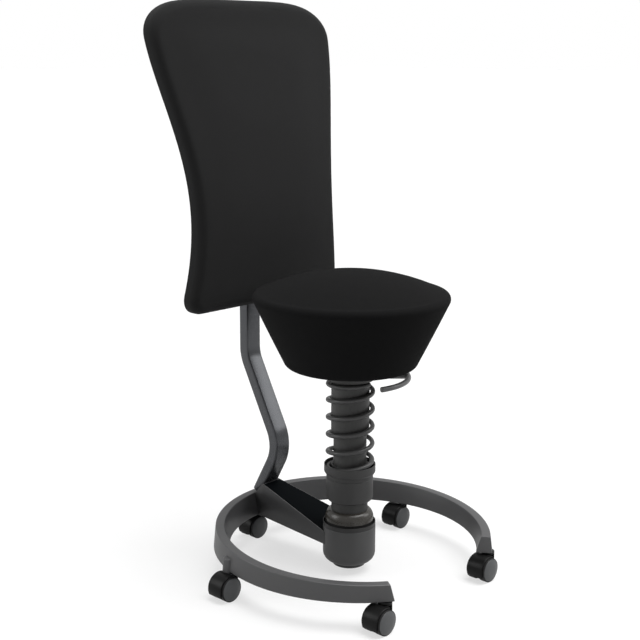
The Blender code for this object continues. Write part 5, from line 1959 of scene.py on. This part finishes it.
@dataclass
class RearArm:
    """The sheet arm between the ring and the hub, with the lid that closes its top."""

    edge: float = 0.0006
    sheet: float = 0.005
    hub_y: float = 0.017
    hub_half: float = 0.0509
    hub_top: float = 0.0843
    hub_low: float = 0.0597
    rear_y: float = 0.228
    rear_half: float = 0.0263
    crest_y: float = 0.2345
    crest_top: float = 0.134
    tail_y: float = 0.2584
    tail_top: float = 0.104
    tail_low: float = 0.058
    hub_gap: float = 0.0556
    hub_wall: float = 0.0541
    start_rounds: int = 4
    lid_inset: float = 0.0020
    lid_end: float = 0.2288
    lid_span: tuple[float, float] = (0.0007, 0.0013)
    rim_inset: float = 0.0004
    rim_end: float = 0.2308
    rim_span: tuple[float, float] = (0.0001, 0.0006)
    plate_edge: float = 0.0002
    columns: int = 24
    rows: int = 12

    def half(self, y: float) -> float:
        """Return the arm's half width at a depth."""
        share = min((y - self.hub_y) / (self.rear_y - self.hub_y), 1.0)
        return self.hub_half + (self.rear_half - self.hub_half) * share

    def top(self, y: float) -> float:
        """Return the height of the arm's top edge at a depth."""
        knots = (self.hub_y, self.crest_y, self.tail_y)
        return float(np.interp(y, knots, (self.hub_top, self.crest_top, self.tail_top)))

    def start(self, share: float, inset: float, radius: float) -> float:
        """Find where sheet leaves the hub's round.

        Args:
            share: The place across the arm, from -1 to 1.
            inset: How far the sheet's sides stand in from the arm's.
            radius: The round's radius.

        Returns:
            The depth.
        """
        y = self.hub_y
        for _ in range(self.start_rounds):
            y = math.sqrt(radius ** 2 - (share * (self.half(y) - inset)) ** 2)
        return y

    def channel(self) -> Obj:
        """Build the sheet channel, open at its top.

        Returns:
            The channel.
        """
        shares = np.linspace(-1.0, 1.0, self.columns + 1)
        section = [(share, 0.0, 0.0) for share in shares]
        section += [(1.0, 0.0, 1.0), (1.0, self.sheet, 1.0)]
        section += [(share, self.sheet, 0.0) for share in shares[::-1]]
        section += [(-1.0, self.sheet, 1.0), (-1.0, 0.0, 1.0)]
        rings = []
        for depth in (None, self.rear_y, self.crest_y, self.tail_y):
            ring = []
            for share, inset, up in section:
                y = depth or self.start(share, inset, self.hub_wall)
                low = float(np.interp(y, (self.hub_y, self.crest_y), (self.hub_low, self.tail_low)))
                ring.append((share * (self.half(y) - inset), y, self.top(y) if up else low + inset))
            rings.append(ring)
        return softened(lofted("arm_channel", rings), self.edge)

    def plate(self, name: str, inset: float, last: float, span: tuple[float, float]) -> Obj:
        """Build a thin plate on the arm's top edges, cut round the hub.

        Args:
            name: The piece's name.
            inset: How far its sides stand in from the arm's.
            last: The depth where it ends.
            span: Its underside and its top above the arm's edges.

        Returns:
            The plate.
        """
        low, high = span
        rings = []
        for along in np.linspace(0.0, 1.0, self.rows + 1):
            row = []
            for share in np.linspace(-1.0, 1.0, self.columns + 1):
                begin = self.start(share, inset, self.hub_gap)
                y = begin + (last - begin) * along
                row.append((share * (self.half(y) - inset), y, self.top(y)))
            rings.append([(x, y, z + high) for x, y, z in row] + [(x, y, z + low) for x, y, z in row[::-1]])
        return softened(lofted(name, rings), self.plate_edge)

    def build(self) -> None:
        """Build the channel, a light grey plate on its top edges that paints a highlight along them, and
        the dark lid on it.
        """
        body = Body.BASE.value
        dressed(self.channel(), ARM_COAT, body, ["base_arm"])
        # The light grey plate paints a highlight along the arm's top edges.
        dressed(self.plate("arm_rim", self.rim_inset, self.rim_end, self.rim_span), RIM_PAINTED_HIGHLIGHT, body)
        lid = self.plate("arm_lid", self.lid_inset, self.lid_end, self.lid_span)
        dressed(lid, COVER_BLACK, body, ["arm_cover"])


@dataclass
class HiddenHardware:
    """The CAD pieces that stay as they are and get a finish."""

    rubber: tuple[str, ...] = ("elastomer_seat",)
    steel: tuple[str, ...] = (
        "retaining_ring", "pivot_ball", "gas_guide_tube", "thrust_bearing", "gas_piston_rod",
        "gas_cylinder", "seat_mount", "lever_pivot_pin", "valve_pin",
    )
    plastic: tuple[str, ...] = ("socket_liner", "inner_guide_bush", "lower_guide_bush", "top_guide_bush")
    ply: tuple[str, ...] = ("seat_board",)

    def build(self, axles: Sequence[str]) -> None:
        """Give each kept CAD node its finish.

        Args:
            axles: The castors' axles, which are steel too.
        """
        finishes = {
            DOME_RUBBER: self.rubber,
            BRIGHT_STEEL: (*self.steel, *axles),
            BUSH_PLASTIC: self.plastic,
            PLAIN_PLY: self.ply,
        }
        for finish, nodes in finishes.items():
            for node in nodes:
                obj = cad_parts[node]
                obj.data.materials.clear()
                obj.data.materials.append(finish.material())
                LOG.info("%s keeps its CAD shape in %s", node, finish.name)


@dataclass
class Studio:
    """The camera, the pale floor, the sky, the overhead light and a panel at each side."""

    eye: Point3 = (-1.8282, -1.6061, 1.0694)
    forward: Point3 = (0.70484, 0.67877, -0.20611)
    right: Point3 = (0.69366, -0.72030, 0.0)
    lens: float = 69.13
    sensor: float = 36.0
    shift: Point2 = (0.0372, -0.0165)
    floor_half: float = 60.0
    sun: float = 3.2
    sun_angle: float = math.radians(52.0)
    sun_tilt: Point3 = (-0.20, 0.22, -1.0)
    right_panel: float = 18.0
    right_place: Point3 = (2.1, -1.55, 1.75)
    left_panel: float = 17.0
    left_place: Point3 = (-1.9, 1.5, 1.3)
    panel_size: float = 1.4
    panel_aim: Point3 = (0.0, 0.1, 0.4)
    zenith: float = 0.15
    horizon: float = 0.20
    floor_seen: float = 0.37
    floor_tone: float = 0.42
    floor_glow: float = 0.63
    floor_gloss: float = 0.34
    sky_gloss: float = 0.66

    def camera(self) -> None:
        """Place the camera as the photograph was taken."""
        data = bpy.data.cameras.new("camera")
        data.lens = self.lens
        data.sensor_width = self.sensor
        data.shift_x, data.shift_y = self.shift
        look = Vector(self.forward).normalized()
        side = (Vector(self.right) - look * look.dot(Vector(self.right))).normalized()
        turn = Matrix((side, side.cross(look), -look)).transposed().to_4x4()
        made = linked("camera", data)
        made.matrix_world = Matrix.Translation(self.eye) @ turn
        bpy.context.scene.camera = made

    def floor(self) -> None:
        """Lay the pale floor, which is white to the camera and takes a light shadow."""
        far = self.floor_half
        corners = [(-far, -far, 0), (far, -far, 0), (far, far, 0), (-far, far, 0)]
        made = new_object("floor", corners, [(0, 1, 2, 3)])
        paint = bpy.data.materials.new("floor_white")
        paint.use_nodes = True
        net = Wiring(paint.node_tree)
        path = net.node("ShaderNodeLightPath").outputs
        direct = net.calc("ADD", path["Is Camera Ray"], path["Is Transmission Ray"])
        seen = net.calc("MULTIPLY", direct, self.floor_glow)
        gloss = net.calc("MULTIPLY", path["Is Glossy Ray"], self.floor_gloss)
        low, high = [(tone,) * 3 + (1.0,) for tone in (self.floor_tone, self.floor_seen)]
        mix = net.node("ShaderNodeMix", {"data_type": "RGBA"})
        net.feed(mix, {0: path["Is Camera Ray"], 6: low, 7: high})
        net.feed(paint.node_tree.nodes["Principled BSDF"], {
            "Base Color": mix.outputs[2],
            "Roughness": 1.0,
            "Specular IOR Level": 0.0,
            "Emission Color": (1.0, 1.0, 1.0, 1.0),
            "Emission Strength": net.calc("ADD", seen, gloss),
        })
        made.data.materials.append(paint)

    def sky(self) -> None:
        """Make the world: white to the camera, and a soft light that changes from horizon to zenith."""
        world = bpy.data.worlds.new("studio")
        world.use_nodes = True
        bpy.context.scene.world = world
        net = Wiring(world.node_tree)
        split = net.node("ShaderNodeSeparateXYZ")
        net.feed(split, {0: net.node("ShaderNodeNewGeometry").outputs["Incoming"]})
        height = net.calc("MAXIMUM", net.calc("MULTIPLY", split.outputs["Z"], -1.0), 0.0)
        light = net.calc("ADD", net.calc("MULTIPLY", height, self.zenith - self.horizon), self.horizon)
        path = net.node("ShaderNodeLightPath").outputs
        rays = {"Is Glossy Ray": self.sky_gloss, "Is Transmission Ray": 1.0, "Is Camera Ray": 1.0}
        for ray, strength in rays.items():
            mix = net.node("ShaderNodeMix")
            net.feed(mix, {0: path[ray], 2: light, 3: strength})
            light = mix.outputs[0]
        back = world.node_tree.nodes["Background"]
        net.feed(back, {"Color": (1.0, 1.0, 1.0, 1.0), "Strength": light})

    def lamps(self) -> None:
        """Hang the soft overhead light and set a panel at each side."""
        sun = bpy.data.lights.new("overhead", "SUN")
        sun.energy = self.sun
        sun.angle = self.sun_angle
        made = linked("overhead", sun)
        made.rotation_euler = Vector(self.sun_tilt).to_track_quat("-Z", "Y").to_euler()
        panels = {
            "right_panel": (self.right_panel, self.right_place),
            "left_panel": (self.left_panel, self.left_place),
        }
        for name, (energy, place) in panels.items():
            soft = bpy.data.lights.new(name, "AREA")
            soft.energy = energy
            soft.size = self.panel_size
            made = linked(name, soft)
            made.location = place
            aim = Vector(self.panel_aim) - Vector(place)
            made.rotation_euler = aim.to_track_quat("-Z", "Y").to_euler()

    def build(self) -> None:
        """Set up the view, the floor, the sky and the lamps."""
        self.camera()
        self.floor()
        self.sky()
        self.lamps()
        bpy.context.scene.view_settings.view_transform = "Standard"


def main() -> None:
    """Build the stool's pieces in order."""
    logging.basicConfig(level=logging.INFO, format="%(name)s: %(message)s")
    base = BaseRing()
    base.build()
    for name, x, y in base.castors():
        Castor(name, x, y).build()
    parts = (Hub, RearArm, Column, Adjuster, Coil, UpperColumn, Lever, Seat, BackBar, Backrest)
    for part in parts:
        part().build()
    HiddenHardware().build([f"castor_axle_{name}" for name, _, _ in base.castors()])
    Studio().build()


if __name__ == "__main__":
    main()
